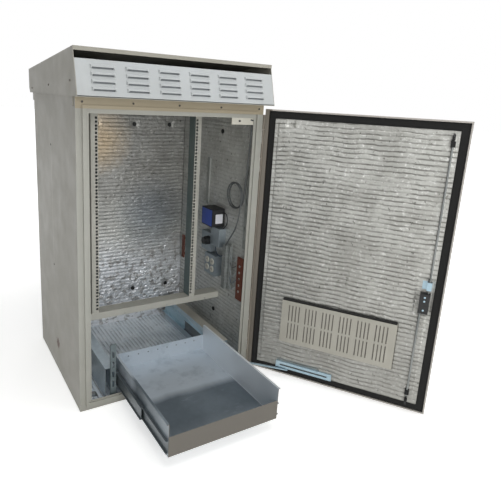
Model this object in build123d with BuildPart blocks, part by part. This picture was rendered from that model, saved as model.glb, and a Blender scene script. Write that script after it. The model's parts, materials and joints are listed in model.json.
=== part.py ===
from build123d import *
from math import cos, sin, radians, atan2, pi
import os

os.makedirs("parts", exist_ok=True)

# A roadside cabinet for batteries and rack equipment, with its door open and its battery tray
# pulled out. Millimetres, +X to the right, +Y to the rear, +Z up, origin in the middle of the base.

# Body sheets
body_width = 800.0
body_depth = 700.0
body_height = 1235.0
skin = 2.0
bend_radius = 5.0
floor_gauge = 3.0
collar_height = 33.0
collar_setback = 21.0
collar_gauge = 3.0

# Door opening and the raised lip that its seal closes on
jamb_width = 47.0
sill_edge = 40.0
header_drop = 55.0
lip_width = 12.0
lip_rise = 8.0
lip_margin_side = 12.0
lip_margin_top = 16.0
lip_margin_bottom = 6.0

# Hood
hood_overhang = 10.0
hood_rear_overhang = 45.0
hood_foot_reach = 61.0
apex_reach = 21.0
apex_rise = 165.0
roof_rear_rise = 104.0
roof_lip = 14.0
hood_bevel_depth = 15.0
hood_bevel_height = 22.0
hood_flange = 22.0
louvre_panel_length = 125.0
louvre_panel_foot = 5.5
louvre_panel_return = 12.0

# Pressed louvres
louvre_depth = 6.0
louvre_taper = 30.0
louvre_mouth = 5.0
hood_louvre_length = 88.0
hood_louvre_height = 15.0
hood_louvre_margin = 40.0
hood_louvre_rows = 4
hood_louvre_pitch_x = 125.4
hood_louvre_pitch_y = 25.2
door_louvre_length = 92.0
door_louvre_height = 16.0
door_louvre_columns = 4
door_louvre_rows = 7
door_louvre_pitch_x = 123.0
door_louvre_pitch_z = 25.0
door_louvre_center_x = -9.0
door_louvre_center_z = 271.0

# Foil-faced lining
lining_gauge = 25.0
floor_lining_gauge = 12.0
rib_pitch = 19.0
rib_depth = 2.0
lining_gap = 1.0
lining_relief = 6.0
ceiling_lining_setback = 30.0
vent_cut_width = 320.0
vent_cut_depth = 180.0
vent_cut_y = 120.0
clip_radius = 11.0
clip_height = 4.0
clip_sides = 10
clip_top_drop = 77.0
rear_clip_low = 205.0
rear_clip_pitch = 198.0
rear_clip_center = 81.0
side_clip_low = 192.0
side_clip_rear = 140.0
side_clip_pitch = 284.0

# Anchors and cable entries in the floor
anchor_radius = 7.0
anchor_edge = 70.0
anchor_access_side = 40.0
conduit_radius = 25.0
conduit_edge = 75.0
conduit_spacing = 120.0

# Door
door_low = 12.0
door_top_drop = 14.0
door_depth = 28.5
door_gap = 3.5
door_open_angle = 123.7
door_edge_radius = 3.0
door_return = 6.0
door_hinge_return = 18.0
gasket_inset = 8.0
gasket_width = 28.0
gasket_clearance = 0.5
door_lining_clearance = 1.0

# Piano hinge
knuckle_radius = 4.3
knuckle_length = 61.1
knuckle_gap = 0.4
hinge_end = 23.0
hinge_low = 28.0
hinge_pin_radius = 1.6
running_fit = 0.05
leaf_gauge = 1.6
leaf_width = 20.0
knuckle_notch = 0.4

# Latch
latch_inset = 21.0
latch_z = 505.0
latch_width = 38.0
latch_height = 82.0
latch_depth = 28.0
latch_wall = 3.0
pinion_radius = 10.2
rod_radius = 4.0
rod_lift = 11.5
rod_travel = 16.0
roller_radius = 9.0
roller_width = 7.0
roller_pin_radius = 2.5
roller_edge_gap = 5.0
roller_plate_gap = 1.0
fork_wall = 2.0
guide_height = 22.0
guide_depth = 18.0
guide_half = 8.5
spindle_radius = 4.0

# Swing handle
handle_length = 150.0
handle_width = 20.0
handle_depth = 13.0
handle_base_width = 34.0
handle_base_height = 196.0
handle_base_gauge = 4.0
handle_boss_radius = 14.0
handle_boss_depth = 6.0
handle_gap = 0.4
handle_ear = 4.0
handle_pin_radius = 2.0

# Filter on the inside of the door
filter_width = 494.0
filter_low = 186.0
filter_height = 202.0
filter_center_x = -1.0
filter_depth = 20.0
filter_gauge = 1.5
filter_pad_rise = 6.0
filter_slot_width = 5.0
filter_slot_height = 76.0

# Door stay
stay_x_low = -6.0
stay_x_high = 254.0
stay_low = 49.0
stay_height = 30.0
stay_depth = 12.5
stay_gauge = 1.5
stay_arm_length = 260.0
stay_arm_width = 10.0
stay_arm_gauge = 4.0
stay_pivot_inset = 21.0
stay_pivot_depth = 10.0
stay_pin_radius = 3.0
stay_arm_rest_angle = -46.88
stay_arm_gap = 2.0

# Rack
rack_setback = 240.0
rack_center_x = -20.0
rack_clear_width = 450.0
rack_hole_spacing = 465.1
rack_hole_side = 9.5
rack_unit_height = 44.45
post_width = 30.0
post_depth = 50.0
rail_depth = 58.0
rail_flange = 22.0
bar_low = 272.0
bar_height = 30.0
bar_depth = 60.0
top_bar_drop = 8.0
top_bar_height = 15.0

# Battery tray and its slides
tray_left = -225.0
tray_right = 240.0
tray_bottom = 53.0
tray_lip_top = 133.0
tray_side_top = 183.0
tray_gauge = 1.5
tray_flange = 8.0
tray_recess = 70.0
tray_rear_gap = 105.0
tray_travel = 520.0
slide_low = 62.0
slide_height = 60.0
slide_depth = 19.0
slide_gauge = 2.0
slide_gap = 0.3
slide_rear_gap = 110.0
slide_setback = 25.0
support_gauge = 2.0
support_height = 135.0
support_width = 45.0
support_post_height = 241.0
support_post_width = 24.0
support_post_depth = 6.0
support_slot_low = 75.0
support_slot_pitch = 45.0
support_slot_width = 9.0
support_slot_height = 26.0

# Equipment on the right wall, inside
strut_width = 22.0
strut_gauge = 8.0
rear_strut_setback = 384.0
rear_strut_low = 732.0
rear_strut_high = 966.0
front_strut_setback = 32.0
front_strut_low = 589.0
front_strut_high = 969.0
power_unit_depth = 70.0
power_unit_low = 648.0
power_unit_height = 88.0
power_unit_setback = 218.0
power_unit_length = 102.0
meter_box_depth = 38.0
meter_box_setback = 200.0
meter_box_length = 80.0
meter_box_low = 548.0
meter_box_height = 92.0
socket_box_depth = 38.0
socket_box_setback = 222.0
socket_box_length = 105.0
socket_box_low = 390.0
socket_box_height = 104.0
socket_radius = 16.0
socket_sides = 14
socket_rise = 4.0
socket_pitch_y = 46.0
socket_pitch_z = 39.0
wall_box_bevel = 3.0
plug_box_depth = 30.0
plug_box_setback = 284.0
plug_box_length = 96.0
plug_offset = 24.0
plug_box_low = 500.0
plug_box_height = 96.0
plug_radius = 22.0
plug_length = 34.0
terminal_setback = 148.0
terminal_low = 360.0
terminal_count = 12
terminal_pitch = 18.0
terminal_width = 56.0
terminal_depth = 30.0
terminal_rail_depth = 7.5
ground_bar_setback = 36.0
ground_bar_low = 337.0
ground_bar_height = 208.0
ground_bar_width = 48.0
ground_bar_gauge = 6.0
ground_bar_standoff = 12.0
ground_screw_count = 5
ground_screw_pitch = 31.0
ground_screw_radius = 6.0
insulator_inset = 20.0
insulator_radius = 7.0
rear_bar_rear = 88.0
rear_bar_low = 371.0
rear_bar_height = 130.0
rear_bar_width = 26.0
loop_radius = 56.0
loop_setback = 98.0
loop_center_z = 828.0
loop_corners = 12
loop_step = 0.75
loop_growth = 0.17
cable_radius = 3.5
cable_sides = 6
bend_share = 0.45
cable_standoff = 16.0
runner_low = 72.0
runner_height = 18.0
runner_width = 24.0
runner_setback = 208.0
runner_rear_gap = 62.0

# Door switch
switch_plate_width = 128.0
switch_plate_height = 36.0
switch_inset = 91.0
switch_drop = 21.0
sensor_inset = 18.0
sensor_width = 21.0
sensor_height = 24.0
sensor_depth = 16.0
switch_body_side = 22.0
switch_plunger_radius = 4.0
switch_plunger_clearance = 0.5
switch_travel = 6.0

# Boxes on the right side, outside
load_box_depth = 117.0
load_box_setback = 110.0
load_box_length = 270.0
load_box_low = 534.0
load_box_height = 356.0
load_box_gauge = 2.0
load_box_cap_height = 62.0
load_box_cover_gauge = 10.0
hub_radius = 45.0
hub_height = 20.0
hub_bore = 31.0
lower_box_depth = 141.0
lower_box_setback = 130.0
lower_box_length = 235.0
lower_box_low = 205.0
lower_box_height = 278.0
lower_box_gauge = 2.0
lower_box_cover_depth = 15.0
lower_box_cap_drop = 14.0
inlet_box_depth = 85.0
inlet_box_setback = 135.0
inlet_box_length = 110.0
inlet_box_low = 28.0
inlet_box_height = 134.0
inlet_flange_gauge = 5.0
inlet_radius = 45.0
inlet_bore = 38.0
inlet_sleeve_length = 30.0
flap_gauge = 5.0
flap_pin_radius = 1.5
flap_knuckle_radius = 3.0
flap_knuckle_width = 24.0
flap_ear = 6.0
rear_box_depth = 60.0
rear_box_rear_gap = 12.0
rear_box_length = 148.0
rear_box_low = 152.0
rear_box_height = 283.0
rear_box_cap_height = 36.0
riser_radius = 10.0
riser_rear = 32.0
riser_clip_sides = 12
riser_high = 800.0
sleeve_low = 455.0
sleeve_height = 42.0

# Screws
screw_radius = 4.2
screw_height = 2.2
screw_sides = 6
header_screw_drop = 16.0
header_screw_edge = 24.0
bar_screw_rise = 8.0
bar_screw_left = 37.0
bar_screw_right = 79.0
cheek_screw_edge = 23.0
cheek_screw_rise = 36.5
cheek_screw_fall = 16.5
wall_screw_drop = 312.0
wall_screw_rear = 72.0
wall_screw_pitch = 188.0

# Places worked out from the sizes above
half_width = body_width / 2
front_y = -body_depth / 2
rear_y = body_depth / 2
inner_x = half_width - skin
frame_back = front_y + skin
inner_rear = rear_y - skin
half_opening = half_width - jamb_width
header_edge = body_height - header_drop
door_high = body_height - door_top_drop
wall_face = inner_x - lining_gauge
rear_face = inner_rear - lining_gauge
floor_face = floor_gauge + floor_lining_gauge
ceiling_z = header_edge + 8.0 + lining_gauge
ceiling_face = ceiling_z - lining_gauge
door_back = front_y - door_gap
door_front = door_back - door_depth
door_skin_back = door_front + skin
door_face = door_back - door_lining_clearance
hinge_x = half_width + knuckle_radius
hinge_y = front_y - door_gap + 1.7
lip_front = front_y - lip_rise
gasket_face = lip_front - gasket_clearance
rod_y = door_face + rod_lift
roller_y = frame_back + roller_plate_gap + roller_radius
latch_x = -half_opening + latch_inset
upper_rod_x = latch_x - pinion_radius
lower_rod_x = latch_x + pinion_radius
upper_roller_z = header_edge - roller_edge_gap - roller_radius
lower_roller_z = sill_edge + roller_edge_gap + roller_radius
stay_pivot_x = half_opening - stay_pivot_inset
stay_pivot_y = frame_back + stay_pivot_depth
anchor_spacing_x = body_width - 2 * anchor_edge
anchor_spacing_y = body_depth - 2 * anchor_edge
rack_plane_y = front_y + rack_setback
top_bar_low = header_edge - top_bar_drop
slide_front = front_y + slide_setback
slide_length = body_depth - slide_rear_gap
tray_front = front_y + tray_recess - tray_travel
tray_length = body_depth - tray_rear_gap

still = Location()
swing = Location((hinge_x, hinge_y, 0), (0, 0, door_open_angle)) * Location((-hinge_x, -hinge_y, 0))


def front(y, carrier=still):
    """Upright plane across the cabinet: local x is X, local y is Z, and it grows to the front."""
    flat = Plane(origin=(0, y, 0), x_dir=(1, 0, 0), z_dir=(0, -1, 0))
    return Plane(carrier * flat.location)


def side(x, carrier=still):
    """Upright plane along the depth: local x is Y, local y is Z, and it grows to the right."""
    flat = Plane(origin=(x, 0, 0), x_dir=(0, 1, 0), z_dir=(1, 0, 0))
    return Plane(carrier * flat.location)


def level(z, carrier=still):
    """Flat plane at a height, which grows upwards."""
    return Plane(carrier * Plane.XY.offset(z).location)


def slab(plane, left, right, low, high, depth, mode=Mode.ADD):
    """A flat rectangular piece or cut, from the plane outwards."""
    with BuildSketch(plane) as outline:
        with Locations(((left + right) / 2, (low + high) / 2)):
            Rectangle(right - left, high - low)
    extrude(outline.sketch, amount=depth, mode=mode)


def discs(plane, points, radius, depth, mode=Mode.ADD):
    """Round pieces or holes of one radius."""
    with BuildSketch(plane) as outline:
        with Locations(*points):
            Circle(radius)
    extrude(outline.sketch, amount=depth, mode=mode)


def studs(plane, points, radius, sides, depth):
    """Low heads and buttons with straight sides."""
    with BuildSketch(plane) as outline:
        with Locations(*points):
            RegularPolygon(radius, sides)
    extrude(outline.sketch, amount=depth)


def slots(plane, points, width, height, depth, mode=Mode.SUBTRACT):
    """Rectangular pieces or holes of one size."""
    with BuildSketch(plane) as outline:
        with Locations(*points):
            Rectangle(width, height)
    extrude(outline.sketch, amount=depth, mode=mode)


def shape(plane, points, depth, mode=Mode.ADD):
    """A straight-sided profile, from the plane outwards."""
    with BuildSketch(plane) as outline:
        with BuildLine():
            Polyline(*points, close=True)
        make_face()
    extrude(outline.sketch, amount=depth, mode=mode)


def tube(plane, x, y, outer, inner, depth):
    """A round tube or a washer."""
    with BuildSketch(plane) as outline:
        with Locations((x, y)):
            Circle(outer)
            Circle(inner, mode=Mode.SUBTRACT)
    extrude(outline.sketch, amount=depth)


def louvres(face, back, points, length, height):
    """Press louvres out of a sheet, each closed at its ends and open along its lower edge."""
    with BuildSketch(face) as bumps:
        with Locations(*points):
            Rectangle(length, height)
    extrude(bumps.sketch, amount=louvre_depth, taper=louvre_taper)
    with BuildSketch(back) as hollows:
        with Locations(*points):
            Rectangle(length - skin, height - skin)
    extrude(hollows.sketch, amount=louvre_depth, taper=louvre_taper, mode=Mode.SUBTRACT)
    mouths = [(x, y - height / 2 + louvre_mouth / 2) for x, y in points]
    slots(back, mouths, length - 2 * louvre_depth, louvre_mouth, louvre_depth + 2 * skin)


def ribbed(plane, thickness, span, run):
    """A lining sheet with ribs: local x is its thickness, local y its span, and it grows along the ribs."""
    count = int(span / rib_pitch)
    pitch = span / count
    points = [(0, 0), (thickness - rib_depth, 0)]
    for i in range(count):
        points.append((thickness, (i + 0.5) * pitch))
        points.append((thickness - rib_depth, (i + 1) * pitch))
    points.append((0, span))
    shape(plane, points, run)


def grid(columns, rows, pitch_x, pitch_y, center_x, center_y):
    """Centres of a regular field."""
    first_x = center_x - (columns - 1) * pitch_x / 2
    first_y = center_y - (rows - 1) * pitch_y / 2
    return [(first_x + i * pitch_x, first_y + j * pitch_y) for i in range(columns) for j in range(rows)]


def write_part(piece, label):
    piece.label = label
    export_step(piece, f"parts/{label}.step")


# Body shell: left, rear and right wall folded from one sheet
with BuildPart() as body_shell:
    with BuildSketch(level(0)) as plan:
        with Locations((0, (frame_back + rear_y) / 2)):
            Rectangle(body_width, rear_y - frame_back)
        fillet(plan.vertices().group_by(Axis.Y)[-1], bend_radius)
    extrude(amount=body_height)
    with BuildSketch(level(0)) as inside:
        with Locations((0, (frame_back + inner_rear) / 2)):
            Rectangle(body_width - 2 * skin, inner_rear - frame_back)
        fillet(inside.vertices().group_by(Axis.Y)[-1], bend_radius - skin)
    extrude(amount=body_height, mode=Mode.SUBTRACT)
write_part(body_shell.part, "body_shell")

# Floor pan with four anchor holes and two conduit holes
anchor_points = grid(2, 2, anchor_spacing_x, anchor_spacing_y, 0, 0)
conduit_x = -half_width + conduit_edge
conduit_points = [(conduit_x, -conduit_spacing / 2), (conduit_x, conduit_spacing / 2)]
with BuildPart() as floor_pan:
    with BuildSketch(level(0)) as plan:
        with Locations((0, (frame_back + inner_rear) / 2)):
            Rectangle(body_width - 2 * skin, inner_rear - frame_back)
        fillet(plan.vertices().group_by(Axis.Y)[-1], bend_radius - skin)
    extrude(amount=floor_gauge)
    discs(level(0), anchor_points, anchor_radius, floor_gauge, Mode.SUBTRACT)
    discs(level(0), conduit_points, conduit_radius, floor_gauge, Mode.SUBTRACT)
write_part(floor_pan.part, "floor_pan")

# Ceiling plate with the slots that let warm air up into the hood
vent_points = grid(8, 1, vent_cut_width / 8, 0, 0, vent_cut_y)
with BuildPart() as ceiling_plate:
    with BuildSketch(level(ceiling_z)) as plan:
        with Locations((0, (frame_back + inner_rear) / 2)):
            Rectangle(body_width - 2 * skin, inner_rear - frame_back)
        fillet(plan.vertices().group_by(Axis.Y)[-1], bend_radius - skin)
    extrude(amount=skin)
    slots(level(ceiling_z), vent_points, vent_cut_width / 16, vent_cut_depth, skin)
write_part(ceiling_plate.part, "ceiling_plate")

# Door frame: jambs, header and sill in one sheet, with a raised lip all round the opening
lip_left = half_opening + lip_margin_side
lip_low = sill_edge - lip_margin_bottom
lip_high = header_edge + lip_margin_top
with BuildPart() as door_frame:
    slab(front(frame_back), -half_width, half_width, 0, body_height, skin)
    slab(front(front_y), -lip_left - lip_width, lip_left + lip_width, lip_low - lip_width, lip_high + lip_width,
         lip_rise)
    slab(front(front_y + skin), -lip_left - lip_width + skin, lip_left + lip_width - skin,
         lip_low - lip_width + skin, lip_high + lip_width - skin, lip_rise, Mode.SUBTRACT)
    slab(front(frame_back), -lip_left - skin, lip_left + skin, lip_low - skin, lip_high + skin, lip_rise + skin)
    slab(front(frame_back), -half_opening, half_opening, sill_edge, header_edge, 2 * lip_rise, Mode.SUBTRACT)
    slab(front(front_y), -lip_left, lip_left, lip_low, lip_high, 2 * lip_rise, Mode.SUBTRACT)
write_part(door_frame.part, "door_frame")

# Collar: a thicker band round the top of the body
collar_outer = half_width + collar_gauge
with BuildPart() as collar:
    slab(level(body_height - collar_height), -collar_outer, collar_outer, front_y + collar_setback,
         rear_y + collar_gauge, collar_height)
    with BuildSketch(level(body_height - collar_height)) as core:
        with Locations((0, 0)):
            Rectangle(body_width, body_depth)
        fillet(core.vertices().group_by(Axis.Y)[-1], bend_radius)
    extrude(amount=collar_height, mode=Mode.SUBTRACT)
write_part(collar.part, "collar")

# Hood: two cheeks, the rear wall and the flange that stands on the collar, in one folded sheet
hood_half = half_width + hood_overhang
hood_rear = rear_y + hood_rear_overhang
apex_height = body_height + apex_rise
roof_rear_height = body_height + roof_rear_rise
apex_y = front_y - apex_reach
hood_foot = front_y - hood_foot_reach
roof_slope = (roof_rear_height - apex_height) / (hood_rear - apex_y)
lip_back = apex_y + skin


def under_roof(y):
    """Height of the roof sheet's lower face."""
    return apex_height - skin + roof_slope * (y - apex_y)


panel_top_z = apex_height - roof_lip
cheek_points = [
    (hood_foot, body_height),
    (lip_back, panel_top_z),
    (lip_back, under_roof(lip_back)),
    (hood_rear, under_roof(hood_rear)),
    (hood_rear, body_height + hood_bevel_height),
    (hood_rear - hood_bevel_depth, body_height),
]
hood_inside_points = [
    (hood_foot - hood_flange, body_height + skin),
    (hood_foot - hood_flange, apex_height + skin),
    (hood_rear - skin, apex_height + skin),
    (hood_rear - skin, body_height + hood_bevel_height),
    (hood_rear - skin - hood_bevel_depth, body_height + skin),
]
with BuildPart() as hood_shell:
    shape(side(-hood_half), cheek_points, 2 * hood_half)
    shape(side(-hood_half + skin), hood_inside_points, 2 * (hood_half - skin), Mode.SUBTRACT)
    slab(level(body_height), -hood_half + hood_flange, hood_half - hood_flange, frame_back, rear_y - skin,
         skin, Mode.SUBTRACT)
write_part(hood_shell.part, "hood_shell")

# Roof: a plain sloping sheet with its front edge turned down
roof_points = [
    (apex_y, apex_height),
    (hood_rear, roof_rear_height),
    (hood_rear, under_roof(hood_rear)),
    (lip_back, under_roof(lip_back)),
    (lip_back, panel_top_z),
    (apex_y, panel_top_z),
]
with BuildPart() as roof_panel:
    shape(side(-hood_half), roof_points, 2 * hood_half)
write_part(roof_panel.part, "roof_panel")

# Louvre panel: it leans out towards its foot, and stops short of the roof to leave an air gap
lean = atan2(lip_back - hood_foot, panel_top_z - body_height)
panel_half = hood_half - skin - slide_gap
panel_foot = louvre_panel_foot
panel_head = louvre_panel_foot + louvre_panel_length
leaning = Plane(origin=(0, hood_foot, body_height), x_dir=(1, 0, 0), z_dir=(0, -cos(lean), sin(lean)))
hood_louvre_columns = int((2 * panel_half - hood_louvre_margin) / hood_louvre_pitch_x)
hood_louvre_points = grid(hood_louvre_columns, hood_louvre_rows, hood_louvre_pitch_x, hood_louvre_pitch_y,
                          0, (panel_foot + panel_head) / 2)
with BuildPart() as louvre_panel:
    slab(leaning, -panel_half, panel_half, panel_foot, panel_head, -louvre_panel_return)
    slab(leaning.offset(-skin), -panel_half + skin, panel_half - skin, panel_foot + skin, panel_head - skin,
         -louvre_panel_return, Mode.SUBTRACT)
    louvres(leaning, leaning.offset(-skin), hood_louvre_points, hood_louvre_length, hood_louvre_height)
write_part(louvre_panel.part, "louvre_panel")

# Foil-faced lining boards
side_lining_low = floor_face + lining_gap / 2
side_lining_high = ceiling_face - lining_gap / 2
lining_depth = inner_rear - frame_back - 2 * lining_gap
lining_span = side_lining_high - side_lining_low
side_lining_rear = inner_rear - (bend_radius - skin)
side_lining_depth = side_lining_rear - frame_back - lining_gap
with BuildPart() as lining_sides:
    start = Plane(origin=(inner_x, frame_back + lining_gap, side_lining_low), x_dir=(-1, 0, 0), z_dir=(0, 1, 0))
    ribbed(start, lining_gauge, lining_span, side_lining_depth)
    start = Plane(origin=(-inner_x, side_lining_rear, side_lining_low), x_dir=(1, 0, 0), z_dir=(0, -1, 0))
    ribbed(start, lining_gauge, lining_span, side_lining_depth)
write_part(lining_sides.part, "lining_sides")

with BuildPart() as lining_rear:
    start = Plane(origin=(wall_face - lining_gap, inner_rear, side_lining_low), x_dir=(0, -1, 0),
                  z_dir=(-1, 0, 0))
    ribbed(start, lining_gauge, lining_span, 2 * (wall_face - lining_gap))
write_part(lining_rear.part, "lining_rear")

# Floor boards: a wide one, and three short ones that leave the two conduit holes open between them
board_start = frame_back + lining_gap
board_end = inner_rear - lining_gap
board_edge = inner_x - lining_gap
relief_half = conduit_radius + lining_relief
board_split = conduit_x + relief_half
floor_boards = [
    (board_split + lining_gap, board_edge, board_start, board_end),
    (-board_edge, board_split, board_start, -conduit_spacing / 2 - relief_half),
    (-board_edge, board_split, relief_half - conduit_spacing / 2, conduit_spacing / 2 - relief_half),
    (-board_edge, board_split, conduit_spacing / 2 + relief_half, board_end),
]
with BuildPart() as lining_floor:
    for left, right, near, far in floor_boards:
        start = Plane(origin=(left, near, floor_gauge), x_dir=(0, 0, 1), z_dir=(0, 1, 0))
        ribbed(start, floor_lining_gauge, right - left, far - near)
    slots(level(floor_gauge), anchor_points, anchor_access_side, anchor_access_side, floor_lining_gauge)
write_part(lining_floor.part, "lining_floor")

with BuildPart() as lining_ceiling:
    slab(level(ceiling_face), -inner_x + lining_gap, inner_x - lining_gap, frame_back + ceiling_lining_setback,
         inner_rear - lining_gap, lining_gauge)
    slots(level(ceiling_face), [(0, vent_cut_y)], vent_cut_width, vent_cut_depth, lining_gauge)
write_part(lining_ceiling.part, "lining_ceiling")

# Black push-on clips that hold the boards to the walls
clip_top = header_edge - clip_top_drop
rear_clip_points = grid(3, 2, rear_clip_pitch, clip_top - rear_clip_low, rear_clip_center,
                        (clip_top + rear_clip_low) / 2)
side_clip_points = grid(2, 2, side_clip_pitch, clip_top - side_clip_low,
                        rear_y - side_clip_rear - side_clip_pitch / 2, (clip_top + side_clip_low) / 2)
with BuildPart() as lining_clips:
    studs(front(rear_face), rear_clip_points, clip_radius, clip_sides, clip_height)
    studs(side(wall_face), side_clip_points, clip_radius, clip_sides, -clip_height)
    studs(side(-wall_face), side_clip_points, clip_radius, clip_sides, clip_height)
write_part(lining_clips.part, "lining_clips")

# Rack posts: painted angles with square holes for rack equipment
post_low = bar_low + bar_height
post_high = top_bar_low
rack_right = rack_center_x + rack_clear_width / 2
rack_left = rack_center_x - rack_clear_width / 2
hole_steps = (0.0, 15.875, 31.75)
rack_units = int((post_high - post_low) / rack_unit_height)
first_hole_z = post_low + (post_high - post_low - rack_units * rack_unit_height) / 2 + 6.35
hole_heights = [first_hole_z + unit * rack_unit_height + step for unit in range(rack_units) for step in hole_steps]


def rack_post(edge, direction):
    """A post whose front flange starts at the rack's clear edge and runs outwards."""
    outer = edge + direction * post_width
    hole_x = rack_center_x + direction * rack_hole_spacing / 2
    slab(front(rack_plane_y + skin), min(edge, outer), max(edge, outer), post_low, post_high, skin)
    web = outer - direction * skin
    slab(front(rack_plane_y + post_depth), min(outer, web), max(outer, web), post_low, post_high, post_depth)
    slots(front(rack_plane_y + skin), [(hole_x, z) for z in hole_heights], rack_hole_side, rack_hole_side, skin)


with BuildPart() as rack_posts:
    rack_post(rack_right, 1)
    rack_post(rack_left, -1)
write_part(rack_posts.part, "rack_posts")


def rack_rail(edge, direction):
    """A galvanised stiffener behind the post, along the clear edge."""
    web = edge + direction * skin
    tip = edge + direction * rail_flange
    rail_back = rack_plane_y + skin + rail_depth
    slab(front(rail_back), min(edge, web), max(edge, web), post_low, post_high, rail_depth)
    slab(front(rail_back), min(edge, tip), max(edge, tip), post_low, post_high, skin)


with BuildPart() as rack_rails:
    rack_rail(rack_right, 1)
    rack_rail(rack_left, -1)
write_part(rack_rails.part, "rack_rails")

# Cross bars that carry the posts, from wall to wall, and a low runner along the right wall
runner_front = front_y + runner_setback
runner_length = rear_y - runner_rear_gap - runner_front
with BuildPart() as rack_bars:
    slab(side(wall_face), runner_front, runner_front + runner_length, runner_low, runner_low + runner_height,
         -skin)
    slab(level(runner_low + runner_height - skin), wall_face - runner_width, wall_face, runner_front,
         runner_front + runner_length, skin)
    slab(front(rack_plane_y), -wall_face, wall_face, bar_low, post_low, skin)
    slab(front(rack_plane_y + bar_depth), -wall_face, wall_face, post_low - skin, post_low, bar_depth)
    slab(front(rack_plane_y), -wall_face, wall_face, post_high, post_high + top_bar_height, skin)
    slab(front(rack_plane_y + bar_depth), -wall_face, wall_face, post_high, post_high + skin, bar_depth)
write_part(rack_bars.part, "rack_bars")

# Battery tray: low lip at the front and rear, higher sides with their top edges turned outwards
tray_rear = tray_front + tray_length
with BuildPart() as battery_tray:
    slab(level(tray_bottom), tray_left, tray_right, tray_front, tray_rear, tray_gauge)
    for plane_y in (tray_front + tray_gauge, tray_rear):
        slab(front(plane_y), tray_left, tray_right, tray_bottom, tray_lip_top, tray_gauge)
    for wall_x in (tray_left, tray_right - tray_gauge):
        slab(side(wall_x), tray_front, tray_rear, tray_bottom, tray_side_top, tray_gauge)
    for flange_x in (tray_left - tray_flange, tray_right):
        slab(level(tray_side_top - tray_gauge), flange_x, flange_x + tray_flange, tray_front, tray_rear, tray_gauge)
write_part(battery_tray.part, "battery_tray")


def channel(web, tip, low, high, wall, flange, y_front, y_rear):
    """A slide member: a web along one side and a flange at its top and bottom, up to the tip."""
    outward = 1 if tip > web else -1
    inner_web = web + outward * wall
    slab(front(y_rear), min(web, inner_web), max(web, inner_web), low, high, y_rear - y_front)
    slab(front(y_rear), min(web, tip), max(web, tip), low, low + flange, y_rear - y_front)
    slab(front(y_rear), min(web, tip), max(web, tip), high - flange, high, y_rear - y_front)


# Telescopic slides: one member on the support, one floating, one on the tray
slide_high = slide_low + slide_height
slide_rear = slide_front + slide_length
middle_flange = 2.7
inner_inset = slide_gauge + slide_gap + middle_flange + slide_gap
middle_shift = tray_travel / 2
moving_front = tray_front + 2.0
slide_sides = (("left", tray_left, -1), ("right", tray_right, 1))
with BuildPart() as slides_fixed:
    for name, wall_x, outward in slide_sides:
        back = wall_x + outward * slide_depth
        channel(back, wall_x + outward * 3.0, slide_low, slide_high, slide_gauge, slide_gauge, slide_front,
                slide_rear)
write_part(slides_fixed.part, "slides_fixed")

with BuildPart() as slides_inner:
    for name, wall_x, outward in slide_sides:
        channel(wall_x, wall_x + outward * 9.4, slide_low + inner_inset, slide_high - inner_inset, slide_gauge,
                slide_gauge, moving_front, moving_front + slide_length)
write_part(slides_inner.part, "slides_inner")

for name, wall_x, outward in slide_sides:
    with BuildPart() as slide_middle:
        low = slide_low + slide_gauge + slide_gap
        high = slide_high - slide_gauge - slide_gap
        y_front = slide_front - middle_shift
        y_rear = slide_rear - middle_shift
        back = wall_x + outward * slide_depth
        web_points = sorted((wall_x + outward * 10.0, wall_x + outward * 12.0))
        flange_points = sorted((wall_x + outward * 3.5, back - outward * (slide_gauge + 0.5)))
        slab(front(y_rear), web_points[0], web_points[1], low, high, y_rear - y_front)
        slab(front(y_rear), flange_points[0], flange_points[1], low, low + middle_flange, y_rear - y_front)
        slab(front(y_rear), flange_points[0], flange_points[1], high - middle_flange, high, y_rear - y_front)
    write_part(slide_middle.part, f"slide_middle_{name}")

# Upturned channels that carry the slides, and a slotted post at the front end of the left one
post_outer = tray_left - slide_depth - support_post_width
post_slots = [(post_outer + support_post_width / 2, support_slot_low + i * support_slot_pitch) for i in range(4)]
with BuildPart() as tray_supports:
    for name, wall_x, outward in slide_sides:
        back = wall_x + outward * slide_depth
        outer = back + outward * support_width
        inside = sorted((back + outward * support_gauge, outer - outward * support_gauge))
        slab(front(slide_rear), min(back, outer), max(back, outer), floor_face, floor_face + support_height,
             slide_length)
        slab(front(slide_rear), inside[0], inside[1], floor_face, floor_face + support_height - support_gauge,
             slide_length, Mode.SUBTRACT)
    slab(level(floor_face), post_outer, post_outer + support_post_width, slide_front - support_post_depth,
         slide_front, support_post_height)
    slots(front(slide_front), post_slots, support_slot_width, support_slot_height, support_post_depth)
write_part(tray_supports.part, "tray_supports")

# Terminal heights, which the rail below also needs
terminal_high = terminal_low + terminal_count * terminal_pitch


def strut(y, low, high):
    """A slotted strut on the right wall's lining."""
    slab(side(wall_face), y - strut_width / 2, y + strut_width / 2, low, high, -strut_gauge)
    slab(side(wall_face), y - strut_width / 2 + skin, y + strut_width / 2 - skin, low, high,
         skin - strut_gauge, Mode.SUBTRACT)
    count = int((high - low) / 55.0)
    centers = [(y, low + (i + 0.5) * (high - low) / count) for i in range(count)]
    slots(side(wall_face), centers, 8.0, 24.0, -strut_gauge)


# Zinc-plated rails on the right wall: two slotted struts and the terminal rail
rear_strut_y = front_y + rear_strut_setback
front_strut_y = front_y + front_strut_setback
terminal_y = front_y + terminal_setback
with BuildPart() as wall_rails:
    strut(rear_strut_y, rear_strut_low, rear_strut_high)
    strut(front_strut_y, front_strut_low, front_strut_high)
    slab(side(wall_face), terminal_y - 17.5, terminal_y + 17.5, terminal_low - 12, terminal_high + 12,
         -terminal_rail_depth)
write_part(wall_rails.part, "wall_rails")

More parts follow.
